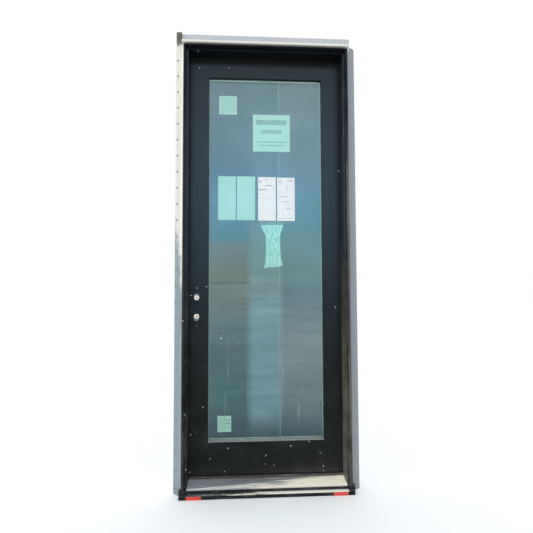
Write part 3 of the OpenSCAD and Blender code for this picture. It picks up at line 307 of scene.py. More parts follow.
# the head's copy has less dust and less shine, so it reads darker: painted shade, as under the drip cap
finish(["head_cladding"], black_cladding("black_coated_aluminium_head_painted_shade", "111315", 0.05, 0.1, 0.0, 0.16))
finish(["lock_jamb_cladding"],
       black_cladding("black_coated_aluminium_left", "111315", 0.25, 0.5, 0.15, 0.5))
finish(["hinge_jamb_cladding"],
       black_cladding("black_coated_aluminium_right", "111315", 0.35, 0.5, 0.85, 0.5))
finish(["lock_stile_cladding", "hinge_stile_cladding", "top_rail_cladding", "bottom_rail_cladding"],
       black_cladding("black_coated_aluminium_panel", "1a1c19", 0.05, 0.75, 0.0, 0.5))


# ---- Nailing fins ----
# Thin strips of off-white PVC, extruded with a row of nail holes, that snap into the jambs and are
# nailed to the wall framing. These have stood outdoors, so they are chalky and soiled.

# metres: how far out the inner edge and the nail holes of a side fin are, and how the holes follow up
fin_edge = 0.466
hole_out = 0.4835
hole_pitch = 0.088
first_hole = 0.045


def weathered_vinyl(name, first_tone, second_tone, second_tone_below, first_tone_above, wander, rims):
    """Chalky PVC in second_tone below second_tone_below and first_tone above first_tone_above (m), along
    an edge that wanders by a share of 300 mm. rims is how dark the painted shade round each nail hole is."""
    made, tree, skin = new_finish(name)
    at = add_node(tree, "TexCoord")
    axes = add_node(tree, "SeparateXYZ", {}, {0: (at, "Object")})
    cloud = add_node(tree, "TexNoise", {"Scale": 9.0, "Detail": 6.0, "Roughness": 0.7},
                     {"Vector": (at, "Object")})
    # the second tone's upper edge slants down to the jamb, as the shade of a wall does: on the left fin
    # it is the edge of a painted shadow
    slant = add_node(tree, "Math", {"operation": "MULTIPLY_ADD", 1: 7.0 * wander},
                     {0: (axes, 0), 2: (axes, 2)})
    line = add_node(tree, "Math", {"operation": "MULTIPLY_ADD", 1: 0.6 * wander},
                    {0: (cloud, "Fac"), 2: (slant, 0)})
    middle = 0.3 * wander - 7.0 * wander * fin_edge
    rise = add_node(tree, "MapRange", {"From Min": second_tone_below + middle, "From Max": first_tone_above + middle},
                    {0: (line, 0)})
    tone = add_node(tree, "Mix", {"data_type": "RGBA", 6: linear(second_tone), 7: linear(first_tone)},
                    {0: (rise, 0)})
    grit = add_node(tree, "TexNoise", {"Scale": 160.0, "Detail": 3.0}, {"Vector": (at, "Object")})
    spots = add_node(tree, "MapRange", {"From Min": 0.60, "From Max": 0.74, "To Max": 0.25},
                     {0: (grit, "Fac")})
    dirty = add_node(tree, "Mix", {"data_type": "RGBA", 7: linear("6b6c68")},
                     {0: (spots, 0), 6: (tone, 2)})
    # painted shade 4 mm wide round the nail holes of a side fin, so the holes read dark
    out = add_node(tree, "Math", {"operation": "ABSOLUTE"}, {0: (axes, 0)})
    out = add_node(tree, "Math", {"operation": "SUBTRACT", 1: hole_out}, {0: (out, 0)})
    up = add_node(tree, "Math", {"operation": "SUBTRACT", 1: first_hole - hole_pitch / 2}, {0: (axes, 2)})
    up = add_node(tree, "Math", {"operation": "FLOORED_MODULO", 1: hole_pitch}, {0: (up, 0)})
    up = add_node(tree, "Math", {"operation": "SUBTRACT", 1: hole_pitch / 2}, {0: (up, 0)})
    off = add_node(tree, "CombineXYZ", {}, {0: (out, 0), 1: (up, 0)})
    far = add_node(tree, "VectorMath", {"operation": "LENGTH"}, {0: (off, 0)})
    ring = add_node(tree, "MapRange", {"From Min": 0.0075, "From Max": 0.0035, "To Max": rims},
                    {0: (far, "Value")})
    holed = add_node(tree, "Mix", {"data_type": "RGBA", 7: linear("2d2e2e")},
                     {0: (ring, 0), 6: (dirty, 2)})
    tree.links.new(holed.outputs[2], skin.inputs["Base Color"])
    skin.inputs["Roughness"].default_value = 0.62
    # the thin strip has taken a wave of about 160 mm, over fine extrusion lines
    wave = add_node(tree, "TexNoise", {"Scale": 6.0, "Detail": 1.0}, {"Vector": (at, "Object")})
    bend = add_node(tree, "Bump", {"Strength": 0.6, "Distance": 0.005}, {"Height": (wave, "Fac")})
    drawn = add_node(tree, "Mapping", {"Scale": (420.0, 420.0, 1.5)}, {0: (at, "Object")})
    die = add_node(tree, "TexNoise", {"Scale": 1.0, "Detail": 1.0}, {"Vector": (drawn, 0)})
    both = add_node(tree, "Bump", {"Strength": 0.25, "Distance": 0.0004},
                    {"Height": (die, "Fac"), "Normal": (bend, 0)})
    tree.links.new(both.outputs[0], skin.inputs["Normal"])
    return made


# left fin: the grey-blue below the slanting edge is painted shade; head fin: the paler low band on the
# drip nose is a painted highlight; right fin: darker towards the bottom; the side fins' hole rims are
# painted shade
finish(["lock_side_fin"],
       weathered_vinyl("weathered_vinyl_left", "ebe9df", "9aa9ae", 1.15, 1.32, 1.0, 0.9))
finish(["head_fin"], weathered_vinyl("weathered_vinyl_head", "b7bcc0", "dddbd1", 2.440, 2.444, 0.0, 0.0))
finish(["hinge_side_fin"],
       weathered_vinyl("weathered_vinyl_right", "999fa4", "848b8d", 0.2, 1.9, 0.4, 0.35))


# ---- Seals ----
# Foam weatherstrips with a grey skin at the head and sides; black rubber under the panel,
# on the sill and around the glass; a grey foam pad at one corner of the fins.
def soft_seal(name, colour, pale):
    """Skinned foam or rubber: matt, with a fine cellular grain of about 2 mm."""
    made, tree, skin = new_finish(name)
    at = add_node(tree, "TexCoord")
    grain = add_node(tree, "TexNoise", {"Scale": 420.0, "Detail": 4.0}, {"Vector": (at, "Object")})
    chalk = add_node(tree, "TexNoise", {"Scale": 18.0, "Detail": 4.0}, {"Vector": (at, "Object")})
    both = add_node(tree, "Math", {"operation": "MULTIPLY"}, {0: (grain, "Fac"), 1: (chalk, "Fac")})
    share = add_node(tree, "MapRange", {"From Min": 0.12, "From Max": 0.42}, {0: (both, 0)})
    tone = add_node(tree, "Mix", {"data_type": "RGBA", 6: linear(colour), 7: linear(pale)},
                    {0: (share, 0)})
    tree.links.new(tone.outputs[2], skin.inputs["Base Color"])
    skin.inputs["Roughness"].default_value = 0.72
    relief = add_node(tree, "Bump", {"Strength": 0.3, "Distance": 0.0004}, {"Height": (grain, "Fac")})
    tree.links.new(relief.outputs[0], skin.inputs["Normal"])
    return made


finish(["head_weatherstrip", "lock_weatherstrip"], soft_seal("grey_skinned_foam", "3a3d3f", "55585a"))
# the hinge-side strip is paler than the others: dust, and in part painted light of the sunlit right reveal
finish(["hinge_weatherstrip"], soft_seal("skinned_foam_dust_and_painted_light", "8d8f8e", "c0c1bd"))
finish(["sill_seal", "bottom_sweep", "glazing_tape"], soft_seal("black_rubber", "121314", "2a2b2c"))
finish(["corner_gasket"], soft_seal("grey_foam_pad", "4c4640", "8b8378"))


# ---- Sill ----
# Black composite base, mill aluminium nosing and sloped tread, brown vinyl dam, oak board
# indoors, and two red shipping clips. Dust and scuffs lie where feet and rain reach; on the nosing and
# tread, painted sunlight brightens the right and painted shade darkens the left.
def moulded(name, colour, scuff, share, rough):
    """Moulded or extruded plastic with pale scuffs about 10 mm wide and 70 mm long."""
    made, tree, skin = new_finish(name)
    at = add_node(tree, "TexCoord")
    along = add_node(tree, "Mapping", {"Scale": (9.0, 60.0, 60.0)}, {0: (at, "Object")})
    rub = add_node(tree, "TexNoise", {"Scale": 1.6, "Detail": 8.0, "Roughness": 0.7},
                   {"Vector": (along, 0)})
    mask = add_node(tree, "MapRange", {"From Min": 0.5, "From Max": 0.75, "To Max": share},
                    {0: (rub, "Fac")})
    tone = add_node(tree, "Mix", {"data_type": "RGBA", 6: linear(colour), 7: linear(scuff)},
                    {0: (mask, 0)})
    tree.links.new(tone.outputs[2], skin.inputs["Base Color"])
    skin.inputs["Roughness"].default_value = rough
    grain = add_node(tree, "TexNoise", {"Scale": 500.0, "Detail": 3.0}, {"Vector": (at, "Object")})
    relief = add_node(tree, "Bump", {"Strength": 0.15, "Distance": 0.0003}, {"Height": (grain, "Fac")})
    tree.links.new(relief.outputs[0], skin.inputs["Normal"])
    return made


def mill_aluminium(name, bright, dirt_and_shade, slant, shares, rough):
    """Mill-finish aluminium, drawn along X, under dirt and painted shade of one colour at the left and
    another at the right; where that cover thins, the bright metal stands as painted sunlight. shares are
    (x in metres, share) pairs, slant how far they shift for each metre inwards, so the painted shadow
    edge can run on a diagonal."""
    made, tree, metal = new_finish(name)
    at = add_node(tree, "TexCoord")
    axes = add_node(tree, "SeparateXYZ", {}, {0: (at, "Object")})
    swept = add_node(tree, "Mapping", {"Scale": (5.0, 60.0, 30.0)}, {0: (at, "Object")})
    film = add_node(tree, "TexNoise", {"Scale": 1.0, "Detail": 9.0, "Roughness": 0.72},
                    {"Vector": (swept, 0)})
    across = add_node(tree, "MapRange", {"From Min": -0.5, "From Max": 0.5}, {0: (axes, 0)})
    turned = add_node(tree, "Math", {"operation": "MULTIPLY_ADD", 1: slant},
                      {0: (axes, 1), 2: (across, 0)})
    stops = [(x + 0.5, (share, share, share, 1)) for x, share in shares]
    along = add_node(tree, "ValToRGB", {"stops": stops}, {"Fac": (turned, 0)})
    reach = add_node(tree, "Math", {"operation": "MULTIPLY_ADD", 1: 1.1},
                     {0: (film, "Fac"), 2: (along, 0)})
    mask = add_node(tree, "MapRange", {"From Min": 0.92, "From Max": 1.10}, {0: (reach, 0)})
    grit = add_node(tree, "TexNoise", {"Scale": 240.0, "Detail": 4.0}, {"Vector": (at, "Object")})
    grey = add_node(tree, "MapRange", {"From Min": 0.3, "From Max": 0.7, "To Min": 0.75, "To Max": 1.15},
                    {0: (grit, "Fac")})
    kinds = add_node(tree, "Mix", {"data_type": "RGBA", 6: linear(dirt_and_shade[0]), 7: linear(dirt_and_shade[1])},
                     {0: (across, 0)})
    soil_and_shade = add_node(tree, "VectorMath", {"operation": "SCALE"}, {0: (kinds, 2), "Scale": (grey, 0)})
    tone = add_node(tree, "Mix", {"data_type": "RGBA", 6: linear(bright)}, {0: (mask, 0), 7: (soil_and_shade, 0)})
    # splashes of white primer up to 5 mm across
    drops = add_node(tree, "TexVoronoi", {"Scale": 95.0}, {"Vector": (at, "Object")})
    inside = add_node(tree, "Math", {"operation": "LESS_THAN", 1: 0.22}, {0: (drops, "Distance")})
    lot = add_node(tree, "SeparateColor", {}, {0: (drops, "Color")})
    kept = add_node(tree, "Math", {"operation": "LESS_THAN", 1: 0.16}, {0: (lot, 0)})
    splash = add_node(tree, "Math", {"operation": "MULTIPLY"}, {0: (inside, 0), 1: (kept, 0)})
    tone = add_node(tree, "Mix", {"data_type": "RGBA", 7: linear("eceeed")},
                    {0: (splash, 0), 6: (tone, 2)})
    drawn = add_node(tree, "Mapping", {"Scale": (8.0, 700.0, 700.0)}, {0: (at, "Object")})
    lines = add_node(tree, "TexNoise", {"Scale": 1.0, "Detail": 3.0}, {"Vector": (drawn, 0)})
    streak = add_node(tree, "Mix", {"data_type": "RGBA", "blend_type": "MULTIPLY", 0: 0.35},
                      {6: (tone, 2), 7: (lines, "Fac")})
    tree.links.new(streak.outputs[2], metal.inputs["Base Color"])
    bare = add_node(tree, "MapRange", {"To Min": 0.4, "To Max": 0.0}, {0: (mask, 0)})
    tree.links.new(bare.outputs[0], metal.inputs["Metallic"])
    dull = add_node(tree, "MapRange", {"To Min": rough, "To Max": 0.85}, {0: (mask, 0)})
    tree.links.new(dull.outputs[0], metal.inputs["Roughness"])
    relief = add_node(tree, "Bump", {"Strength": 0.25, "Distance": 0.0003}, {"Height": (film, "Fac")})
    tree.links.new(relief.outputs[0], metal.inputs["Normal"])
    return made


finish(["sill_base"], moulded("black_composite", "17181a", "8d8e8b", 0.35, 0.5))
finish(["sill_dam"], moulded("brown_vinyl", "4d4642", "a39c92", 0.6, 0.6))
finish(["sill_clips"], moulded("red_plastic", "e2443a", "f0a79c", 0.35, 0.4))
# nosing and tread: the cover thins to the right, so the bright metal there is painted sunlight and the
# left partly painted shade; the tread's slant draws a painted diagonal shadow edge
finish(["sill_nosing"], mill_aluminium("nosing_aluminium", "f2f0e4", ("3c3e40", "55544f"), 0.0,
                                       [(-0.46, 0.75), (-0.2, 0.55), (0.05, 0.35), (0.45, 0.25)], 0.32))
finish(["sill_threshold"], mill_aluminium("tread_aluminium", "f3efdf", ("b4bbc0", "3a3a34"), -3.0,
                                          [(-0.45, 0.60), (-0.10, 0.60), (0.16, 0.47), (0.44, 0.29)], 0.5))


# ---- Timber ----
# White-primed pine for the jambs, stiles, rails and glazing stops, oiled oak for the threshold
# board. Grain runs along each member.
def timber(name, along, early, late, rings_mm):
    """Planed softwood or oak with its grain along an axis; a lower rings_mm lays the rings
    closer."""
    made, tree, wood = new_finish(name)
    at = add_node(tree, "TexCoord")
    stretch = [14.0 / rings_mm * 4] * 3
    stretch["XYZ".index(along)] = 0.9
    drawn = add_node(tree, "Mapping", {"Scale": stretch, "Rotation": (0.02, 0.015, 0.02)},
                     {0: (at, "Object")})
    warp = add_node(tree, "TexNoise", {"Scale": 1.3, "Detail": 2.0}, {"Vector": (drawn, 0)})
    rings = add_node(tree, "Math", {"operation": "MULTIPLY", 1: 9.0}, {0: (warp, "Fac")})
    bands = add_node(tree, "Math", {"operation": "FRACT"}, {0: (rings, 0)})
    fine = [900.0] * 3
    fine["XYZ".index(along)] = 14.0
    pores = add_node(tree, "Mapping", {"Scale": fine}, {0: (at, "Object")})
    fibre = add_node(tree, "TexNoise", {"Scale": 1.0, "Detail": 3.0}, {"Vector": (pores, 0)})
    mixed = add_node(tree, "Math", {"operation": "MULTIPLY_ADD", 1: 0.35},
                     {0: (fibre, "Fac"), 2: (bands, 0)})
    stops = [(0.1, linear(early)), (0.75, linear(early)), (1.0, linear(late))]
    tone = add_node(tree, "ValToRGB", {"stops": stops}, {"Fac": (mixed, 0)})
    tree.links.new(tone.outputs[0], wood.inputs["Base Color"])
    wood.inputs["Roughness"].default_value = 0.55
    relief = add_node(tree, "Bump", {"Strength": 0.2, "Distance": 0.0003}, {"Height": (fibre, "Fac")})
    tree.links.new(relief.outputs[0], wood.inputs["Normal"])
    return made


def primed_pine(name, along):
    """Factory-primed pine: off-white paint that lets the grain show as a faint relief."""
    made, tree, paint = new_finish(name)
    at = add_node(tree, "TexCoord")
    stretch = [160.0] * 3
    stretch["XYZ".index(along)] = 3.0
    drawn = add_node(tree, "Mapping", {"Scale": stretch}, {0: (at, "Object")})
    grain = add_node(tree, "TexNoise", {"Scale": 1.0, "Detail": 6.0, "Roughness": 0.65},
                     {"Vector": (drawn, 0)})
    cloud = add_node(tree, "TexNoise", {"Scale": 5.0, "Detail": 5.0}, {"Vector": (at, "Object")})
    both = add_node(tree, "Math", {"operation": "MULTIPLY_ADD", 1: 0.6},
                    {0: (cloud, "Fac"), 2: (grain, "Fac")})
    stops = [(0.45, linear("cfccc1")), (0.80, linear("e3e1d8")), (1.0, linear("eceae3"))]
    tone = add_node(tree, "ValToRGB", {"stops": stops}, {"Fac": (both, 0)})
    tree.links.new(tone.outputs[0], paint.inputs["Base Color"])
    paint.inputs["Roughness"].default_value = 0.5
    edge = add_node(tree, "Bevel", {"samples": 4, "Radius": 0.0012})
    relief = add_node(tree, "Bump", {"Strength": 0.3, "Distance": 0.0003},
                      {"Height": (grain, "Fac"), "Normal": (edge, 0)})
    tree.links.new(relief.outputs[0], paint.inputs["Normal"])
    return made


finish(["lock_jamb", "hinge_jamb", "lock_stile", "lock_block", "hinge_stile", "side_glazing_stops"],
       primed_pine("primed_pine_upright", "Z"))
finish(["head_jamb", "top_rail", "bottom_rail", "level_glazing_stops"],
       primed_pine("primed_pine_level", "X"))
finish(["indoor_threshold"], timber("oiled_oak", "X", "a5743f", "75491f", 6))


# ---- Hardware ----
# Satin steel hinges, plates and bolts, screwed to the timber; a lock case and rods of zinc-plated
# steel, which slide into a groove of the stile; and two hubs of bright cast zinc, as they were cast.
def satin_metal(name, colour, rough, smudge, metallic=1.0):
    """Satin or plated metal: fine brushing along Z and faint smudges of about 20 mm."""
    made, tree, metal = new_finish(name)
    metal.inputs["Metallic"].default_value = metallic
    at = add_node(tree, "TexCoord")
    drawn = add_node(tree, "Mapping", {"Scale": (1500.0, 1500.0, 60.0)}, {0: (at, "Object")})
    lines = add_node(tree, "TexNoise", {"Scale": 1.0, "Detail": 2.0}, {"Vector": (drawn, 0)})
    cloud = add_node(tree, "TexNoise", {"Scale": 50.0, "Detail": 4.0}, {"Vector": (at, "Object")})
    tone = add_node(tree, "Mix", {"data_type": "RGBA", 6: linear(colour), 7: linear(smudge)},
                    {0: (cloud, "Fac")})
    tree.links.new(tone.outputs[2], metal.inputs["Base Color"])
    spread = add_node(tree, "MapRange", {"To Min": rough - 0.08, "To Max": rough + 0.12},
                      {0: (lines, "Fac")})
    tree.links.new(spread.outputs[0], metal.inputs["Roughness"])
    relief = add_node(tree, "Bump", {"Strength": 0.15, "Distance": 0.0001}, {"Height": (lines, "Fac")})
    tree.links.new(relief.outputs[0], metal.inputs["Normal"])
    return made


finish(["hinge_jamb_leaves", "hinge_panel_leaves", "hinge_pins"],
       satin_metal("satin_hinge_steel", "b4b5b6", 0.34, "9b9c9d"))
finish(["lock_faceplate", "strike_plate", "hook_keepers", "latch_bolt", "deadbolt", "upper_hook",
        "lower_hook"],
       satin_metal("satin_steel", "c3c4c5", 0.3, "a9aaab"))
finish(["gear_case", "hook_boxes", "upper_rod", "lower_rod"],
       satin_metal("zinc_plate", "bdbfc0", 0.42, "a3a49f"))
finish(["frame_screws", "strike_screws", "hinge_jamb_screws", "hinge_panel_screws", "faceplate_screws"],
       satin_metal("plated_screw_steel", "b9b8ae", 0.36, "96958c"))
hubs = satin_metal("bright_cast_zinc", "f6f4ee", 0.55, "e6e3da", 0.15)
# both square sockets are darkened by painted shade to 7.5 mm from their axes (metres)
hub_x = -0.3845
between_hubs = 0.9825
half_spacing = 0.0515
tree = hubs.node_tree
at = add_node(tree, "TexCoord")
axes = add_node(tree, "SeparateXYZ", {}, {0: (at, "Object")})
side = add_node(tree, "Math", {"operation": "SUBTRACT", 1: hub_x}, {0: (axes, 0)})
up = add_node(tree, "Math", {"operation": "SUBTRACT", 1: between_hubs}, {0: (axes, 2)})
up = add_node(tree, "Math", {"operation": "ABSOLUTE"}, {0: (up, 0)})
up = add_node(tree, "Math", {"operation": "SUBTRACT", 1: half_spacing}, {0: (up, 0)})
off = add_node(tree, "CombineXYZ", {}, {0: (side, 0), 1: (up, 0)})
far = add_node(tree, "VectorMath", {"operation": "LENGTH"}, {0: (off, 0)})
painted_socket_shade = add_node(tree, "MapRange", {"From Min": 0.0085, "From Max": 0.0070}, {0: (far, "Value")})
metal = tree.nodes["Principled BSDF"]
first_tone = metal.inputs["Base Color"].links[0].from_socket
second_tone = add_node(tree, "Mix", {"data_type": "RGBA", 7: linear("121211")}, {0: (painted_socket_shade, 0)})
tree.links.new(first_tone, second_tone.inputs[6])
tree.links.new(second_tone.outputs[2], metal.inputs["Base Color"])
finish(["lever_hub", "lock_hub"], hubs)
finish(["glass_spacer"], satin_metal("spacer_aluminium", "8f9294", 0.45, "83868a"))


# ---- Glass ----
# Two 3 mm panes of clear float glass with a soft coating: clear, with a green-blue cast.
# Lamps shine through it, so what hangs behind the glass is lit.
def float_glass(name, tint):
    """Clear float glass that lets lamps and the dome through to what is behind."""
    made, tree, glass = new_finish(name)
    for socket, value in (("Base Color", tint), ("Roughness", 0.0), ("IOR", 1.52),
                          ("Transmission Weight", 1.0)):
        glass.inputs[socket].default_value = value
    path = add_node(tree, "LightPath")
    lets = add_node(tree, "Math", {"operation": "MAXIMUM"},
                    {0: (path, "Is Shadow Ray"), 1: (path, "Is Diffuse Ray")})
    clear = add_node(tree, "BsdfTransparent", {"Color": tint})
    both = add_node(tree, "MixShader", {}, {0: (lets, 0), 1: (glass, 0), 2: (clear, 0)})
    tree.links.new(both.outputs[0], tree.nodes["Material Output"].inputs["Surface"])
    return made


finish(["outer_pane", "inner_pane"], float_glass("clear_float_glass", (0.90, 0.985, 0.96, 1)))


# ---- Labels ----
# Two sheets of printed paper stuck to the outdoor face of the glass, and five pale green sheets of
# film and paper stuck to its indoor face, whose backs show through. All have plain bars only.
def printed_sheet(name, paper, ink, bars, rough, small):
    """Paper or film with plain bars: each is (middle x, middle z, half width, half height, share).
    small is the share of ink in rows of small broken dashes, 6 mm apart."""
    made, tree, skin = new_finish(name)
    at = add_node(tree, "TexCoord")
    axes = add_node(tree, "SeparateXYZ", {}, {0: (at, "Object")})
    fibre = add_node(tree, "TexNoise", {"Scale": 35.0, "Detail": 5.0}, {"Vector": (at, "Object")})
    mottled = add_node(tree, "MapRange", {"From Min": 0.3, "From Max": 0.8, "To Max": 0.25},
                       {0: (fibre, "Fac")})
    sheet = add_node(tree, "Mix", {"data_type": "RGBA", 6: linear(paper[0]), 7: linear(paper[1])},
                     {0: (mottled, 0)})
    total = None
    for x, z, half_x, half_z, share in bars:
        across = add_node(tree, "Math", {"operation": "COMPARE", 1: x, 2: half_x}, {0: (axes, 0)})
        up = add_node(tree, "Math", {"operation": "COMPARE", 1: z, 2: half_z}, {0: (axes, 2)})
        bar = add_node(tree, "Math", {"operation": "MULTIPLY"}, {0: (across, 0), 1: (up, 0)})
        bar = add_node(tree, "Math", {"operation": "MULTIPLY", 1: share}, {0: (bar, 0)})
        if total is not None:
            bar = add_node(tree, "Math", {"operation": "MAXIMUM"}, {0: (bar, 0), 1: (total, 0)})
        total = bar
    row = add_node(tree, "Math", {"operation": "MULTIPLY", 1: 1 / 0.006}, {0: (axes, 2)})
    level = add_node(tree, "Math", {"operation": "FLOOR"}, {0: (row, 0)})
    inside = add_node(tree, "Math", {"operation": "FRACT"}, {0: (row, 0)})
    thin = add_node(tree, "Math", {"operation": "LESS_THAN", 1: 0.35}, {0: (inside, 0)})
    along = add_node(tree, "Math", {"operation": "MULTIPLY", 1: 90.0}, {0: (axes, 0)})
    cell = add_node(tree, "CombineXYZ", {}, {0: (along, 0), 1: (level, 0)})
    broken = add_node(tree, "TexNoise", {"Scale": 1.37, "Detail": 3.0, "Roughness": 0.8},
                      {"Vector": (cell, 0)})
    dash = add_node(tree, "Math", {"operation": "GREATER_THAN", 1: 0.56}, {0: (broken, "Fac")})
    dash = add_node(tree, "Math", {"operation": "MULTIPLY"}, {0: (dash, 0), 1: (thin, 0)})
    dash = add_node(tree, "Math", {"operation": "MULTIPLY", 1: small}, {0: (dash, 0)})
    total = add_node(tree, "Math", {"operation": "MAXIMUM"}, {0: (dash, 0), 1: (total, 0)})
    inked = add_node(tree, "Mix", {"data_type": "RGBA", 7: linear(ink)}, {0: (total, 0), 6: (sheet, 2)})
    tree.links.new(inked.outputs[2], skin.inputs["Base Color"])
    skin.inputs["Roughness"].default_value = rough
    relief = add_node(tree, "Bump", {"Strength": 0.25, "Distance": 0.0008}, {"Height": (fibre, "Fac")})
    tree.links.new(relief.outputs[0], skin.inputs["Normal"])
    return made


outdoor_bars = [
    (0.017, 1.668, 0.017, 0.0022, 0.75), (-0.018, 1.643, 0.024, 0.0022, 0.75),
    (-0.036, 1.622, 0.005, 0.0018, 0.4), (-0.004, 1.596, 0.034, 0.0014, 0.35),
    (-0.030, 1.690, 0.008, 0.008, 0.25), (0.004, 1.700, 0.010, 0.004, 0.2),
    (0.103, 1.605, 0.025, 0.0018, 0.5), (0.086, 1.632, 0.012, 0.0018, 0.35),
    (0.082, 1.692, 0.010, 0.010, 0.25), (0.140, 1.698, 0.018, 0.008, 0.2),
    (0.122, 1.655, 0.004, 0.020, 0.2), (0.112, 1.575, 0.022, 0.003, 0.3),
    (0.128, 1.536, 0.010, 0.004, 0.3), (0.115, 1.482, 0.042, 0.0016, 0.4),
]
finish(["outdoor_labels"], printed_sheet("printed_white_paper", ("f2f9fb", "e6eef2"), "5d636c",
                                         outdoor_bars, 0.6, 0.45))
indoor_bars = [
    (0.0355, 2.040, 0.088, 0.014, 0.55), (0.0355, 1.985, 0.060, 0.010, 0.45),
    (0.0355, 1.925, 0.088, 0.004, 0.40), (0.0355, 1.905, 0.074, 0.004, 0.40),
    (-0.212, 0.356, 0.012, 0.004, 0.45), (-0.212, 0.338, 0.012, 0.004, 0.45),
    (-0.212, 0.318, 0.010, 0.003, 0.35), (-0.246, 0.335, 0.014, 0.030, 0.10),
    (-0.2135, 2.136, 0.043, 0.046, 0.14),
]
finish(["indoor_labels"], printed_sheet("pale_green_film", ("dbe6df", "c6d8d0"), "5d7480",
                                        indoor_bars, 0.45, 0.0))


# ---- Hardware packet ----
# A bag of milky polythene film with the handle's screws in it, gathered under a flat header that
# clear tape holds to the indoor pane. The film is creased where it was folded and hung.

# left and right edges (mm) at each height, from the header down to the bottom seam
packet_edges = [(1446, -26, 99), (1436, -27, 99), (1420, -20, 95), (1400, -6, 88), (1386, 0, 83),
                (1370, 1, 82), (1330, 1, 83), (1290, 0, 85), (1250, -1, 89), (1222, -5, 94),
                (1210, -8, 97), (1200, -12, 99)]


def packet_side(height, which):
    """The left (1) or right (2) edge of the packet at a height, in mm."""
    for upper, lower in zip(packet_edges, packet_edges[1:]):
        if lower[0] <= height <= upper[0]:
            along = (height - lower[0]) / (upper[0] - lower[0])
            return lower[which] + (upper[which] - lower[which]) * along
    return packet_edges[-1][which]


columns, rows = 44, 84
# the packet hangs between these heights, and between these two distances indoors (mm)
packet_top = 1445.5
packet_drop = 245
packet_back = 62.45
packet_front = 75.6
packet_mesh = bmesh.new()
faces = {}
for side in ("glass", "room"):
    for row in range(rows + 1):
        down = row / rows
        for column in range(columns + 1):
            across = column / columns
            rim = row in (0, rows) or column in (0, columns)
            if rim and side == "room":
                faces[side, row, column] = faces["glass", row, column]
                continue
            height = packet_top - packet_drop * down
            left, right = packet_side(height, 1), packet_side(height, 2)
            x = left + (right - left) * across
            # the bottom seam climbs to the right and its two corners droop
            low = max(0.0, (down - 0.72) / 0.28)
            climb = 8.0 * across ** 1.5 * (1 - across ** 12) + 16.0 * across ** 14
            z = height + low * (climb - 4.0 * (1 - across) ** 8)
            # contents fill the lower two thirds; the seams stay flat
            belly = sin(pi * min(1.0, max(0.0, (down - 0.18) / 0.80))) ** 0.7 * sin(pi * across) ** 0.6
            crease = noise.noise(Vector((x * 0.05, 3.0, z * 0.016))) + 0.6 * noise.noise(
                Vector((x * 0.13 + z * 0.05, 9.0, z * 0.06)))
            fan = 0.5 * sin(across * 46 + 3 * sin(down * 5)) * max(0.0, 1 - abs(down - 0.2) / 0.2)
            inwards = min(1.0, 3.0 * sin(pi * across) + 0.3) * min(1.0, down * 6)
            y = packet_back + max(0.1, (1.5 + 1.1 * crease + fan) * inwards)
            if side == "room":
                lumps = 1.0 + 0.35 * noise.noise(Vector((x * 0.045, 20.0, z * 0.045)))
                y = min(packet_front, y + 0.5 + 9.0 * belly * lumps)
            faces[side, row, column] = packet_mesh.verts.new((x / 1000, y / 1000, z / 1000))
for side in ("glass", "room"):
    for row in range(rows):
        for column in range(columns):
            ring = [faces[side, row, column], faces[side, row + 1, column],
                    faces[side, row + 1, column + 1], faces[side, row, column + 1]]
            packet_mesh.faces.new(ring if side == "glass" else ring[::-1])
bmesh.ops.recalc_face_normals(packet_mesh, faces=packet_mesh.faces)
packet = mesh_piece("hardware_packet", packet_mesh)
bpy.ops.object.shade_smooth()
milky, tree, skin = new_finish("milky_polythene_film")
at = add_node(tree, "TexCoord")
hung = add_node(tree, "Mapping", {"Scale": (95.0, 60.0, 34.0), "Rotation": (0, 0.25, 0)},
                {0: (at, "Object")})
pleats = add_node(tree, "TexNoise", {"Scale": 1.0, "Detail": 7.0, "Roughness": 0.62, "Distortion": 0.6},
                  {"Vector": (hung, 0)})
# the film's colour follows the pleats: darker as painted shade in the folds, paler as painted highlights
# on the ridges
stops = [(0.34, linear("9fbfb6")), (0.48, linear("c6dcd5")), (0.64, linear("eaf3ef"))]
tone = add_node(tree, "ValToRGB", {"stops": stops}, {"Fac": (pleats, "Fac")})
tree.links.new(tone.outputs[0], skin.inputs["Base Color"])
skin.inputs["Roughness"].default_value = 0.28
skin.inputs["IOR"].default_value = 1.51
crinkle = add_node(tree, "Bump", {"Strength": 0.55, "Distance": 0.0008}, {"Height": (pleats, "Fac")})
tree.links.new(crinkle.outputs[0], skin.inputs["Normal"])
packet.data.materials.append(milky)
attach(packet, "panel")
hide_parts("hardware_bag")

# The tape: on the glass above the header and over the header's back below
tape_mesh = bmesh.new()
# height and distance indoors (mm) of the face that sticks, from the top down
tape_line = [(1468, 62.1), (1458, 62.1), (1450, 62.1), (1447, 62.3), (1445, 63.1), (1440, 63.6),
             (1436, 63.9)]
rings = []
for z, y in tape_line:
    rings.append([tape_mesh.verts.new((x / 1000, (y + thick) / 1000, z / 1000))
                  for x, thick in ((-34, 0), (106, 0), (106, 0.08), (-34, 0.08))])
for upper, lower in zip(rings, rings[1:]):
    for i in range(4):
        tape_mesh.faces.new((upper[i], upper[(i + 1) % 4], lower[(i + 1) % 4], lower[i]))
tape_mesh.faces.new(rings[0])
tape_mesh.faces.new(rings[-1][::-1])
bmesh.ops.recalc_face_normals(tape_mesh, faces=tape_mesh.faces)
tape = mesh_piece("packet_tape", tape_mesh)
clear, tree, skin = new_finish("clear_packing_tape")
at = add_node(tree, "TexCoord")
glue = add_node(tree, "TexNoise", {"Scale": 60.0, "Detail": 4.0}, {"Vector": (at, "Object")})
haze = add_node(tree, "MapRange", {"From Min": 0.35, "From Max": 0.7, "To Min": 0.12, "To Max": 0.35},
                {0: (glue, "Fac")})
tree.links.new(haze.outputs[0], skin.inputs["Alpha"])
skin.inputs["Base Color"].default_value = linear("dbe9e4")
skin.inputs["Roughness"].default_value = 0.2
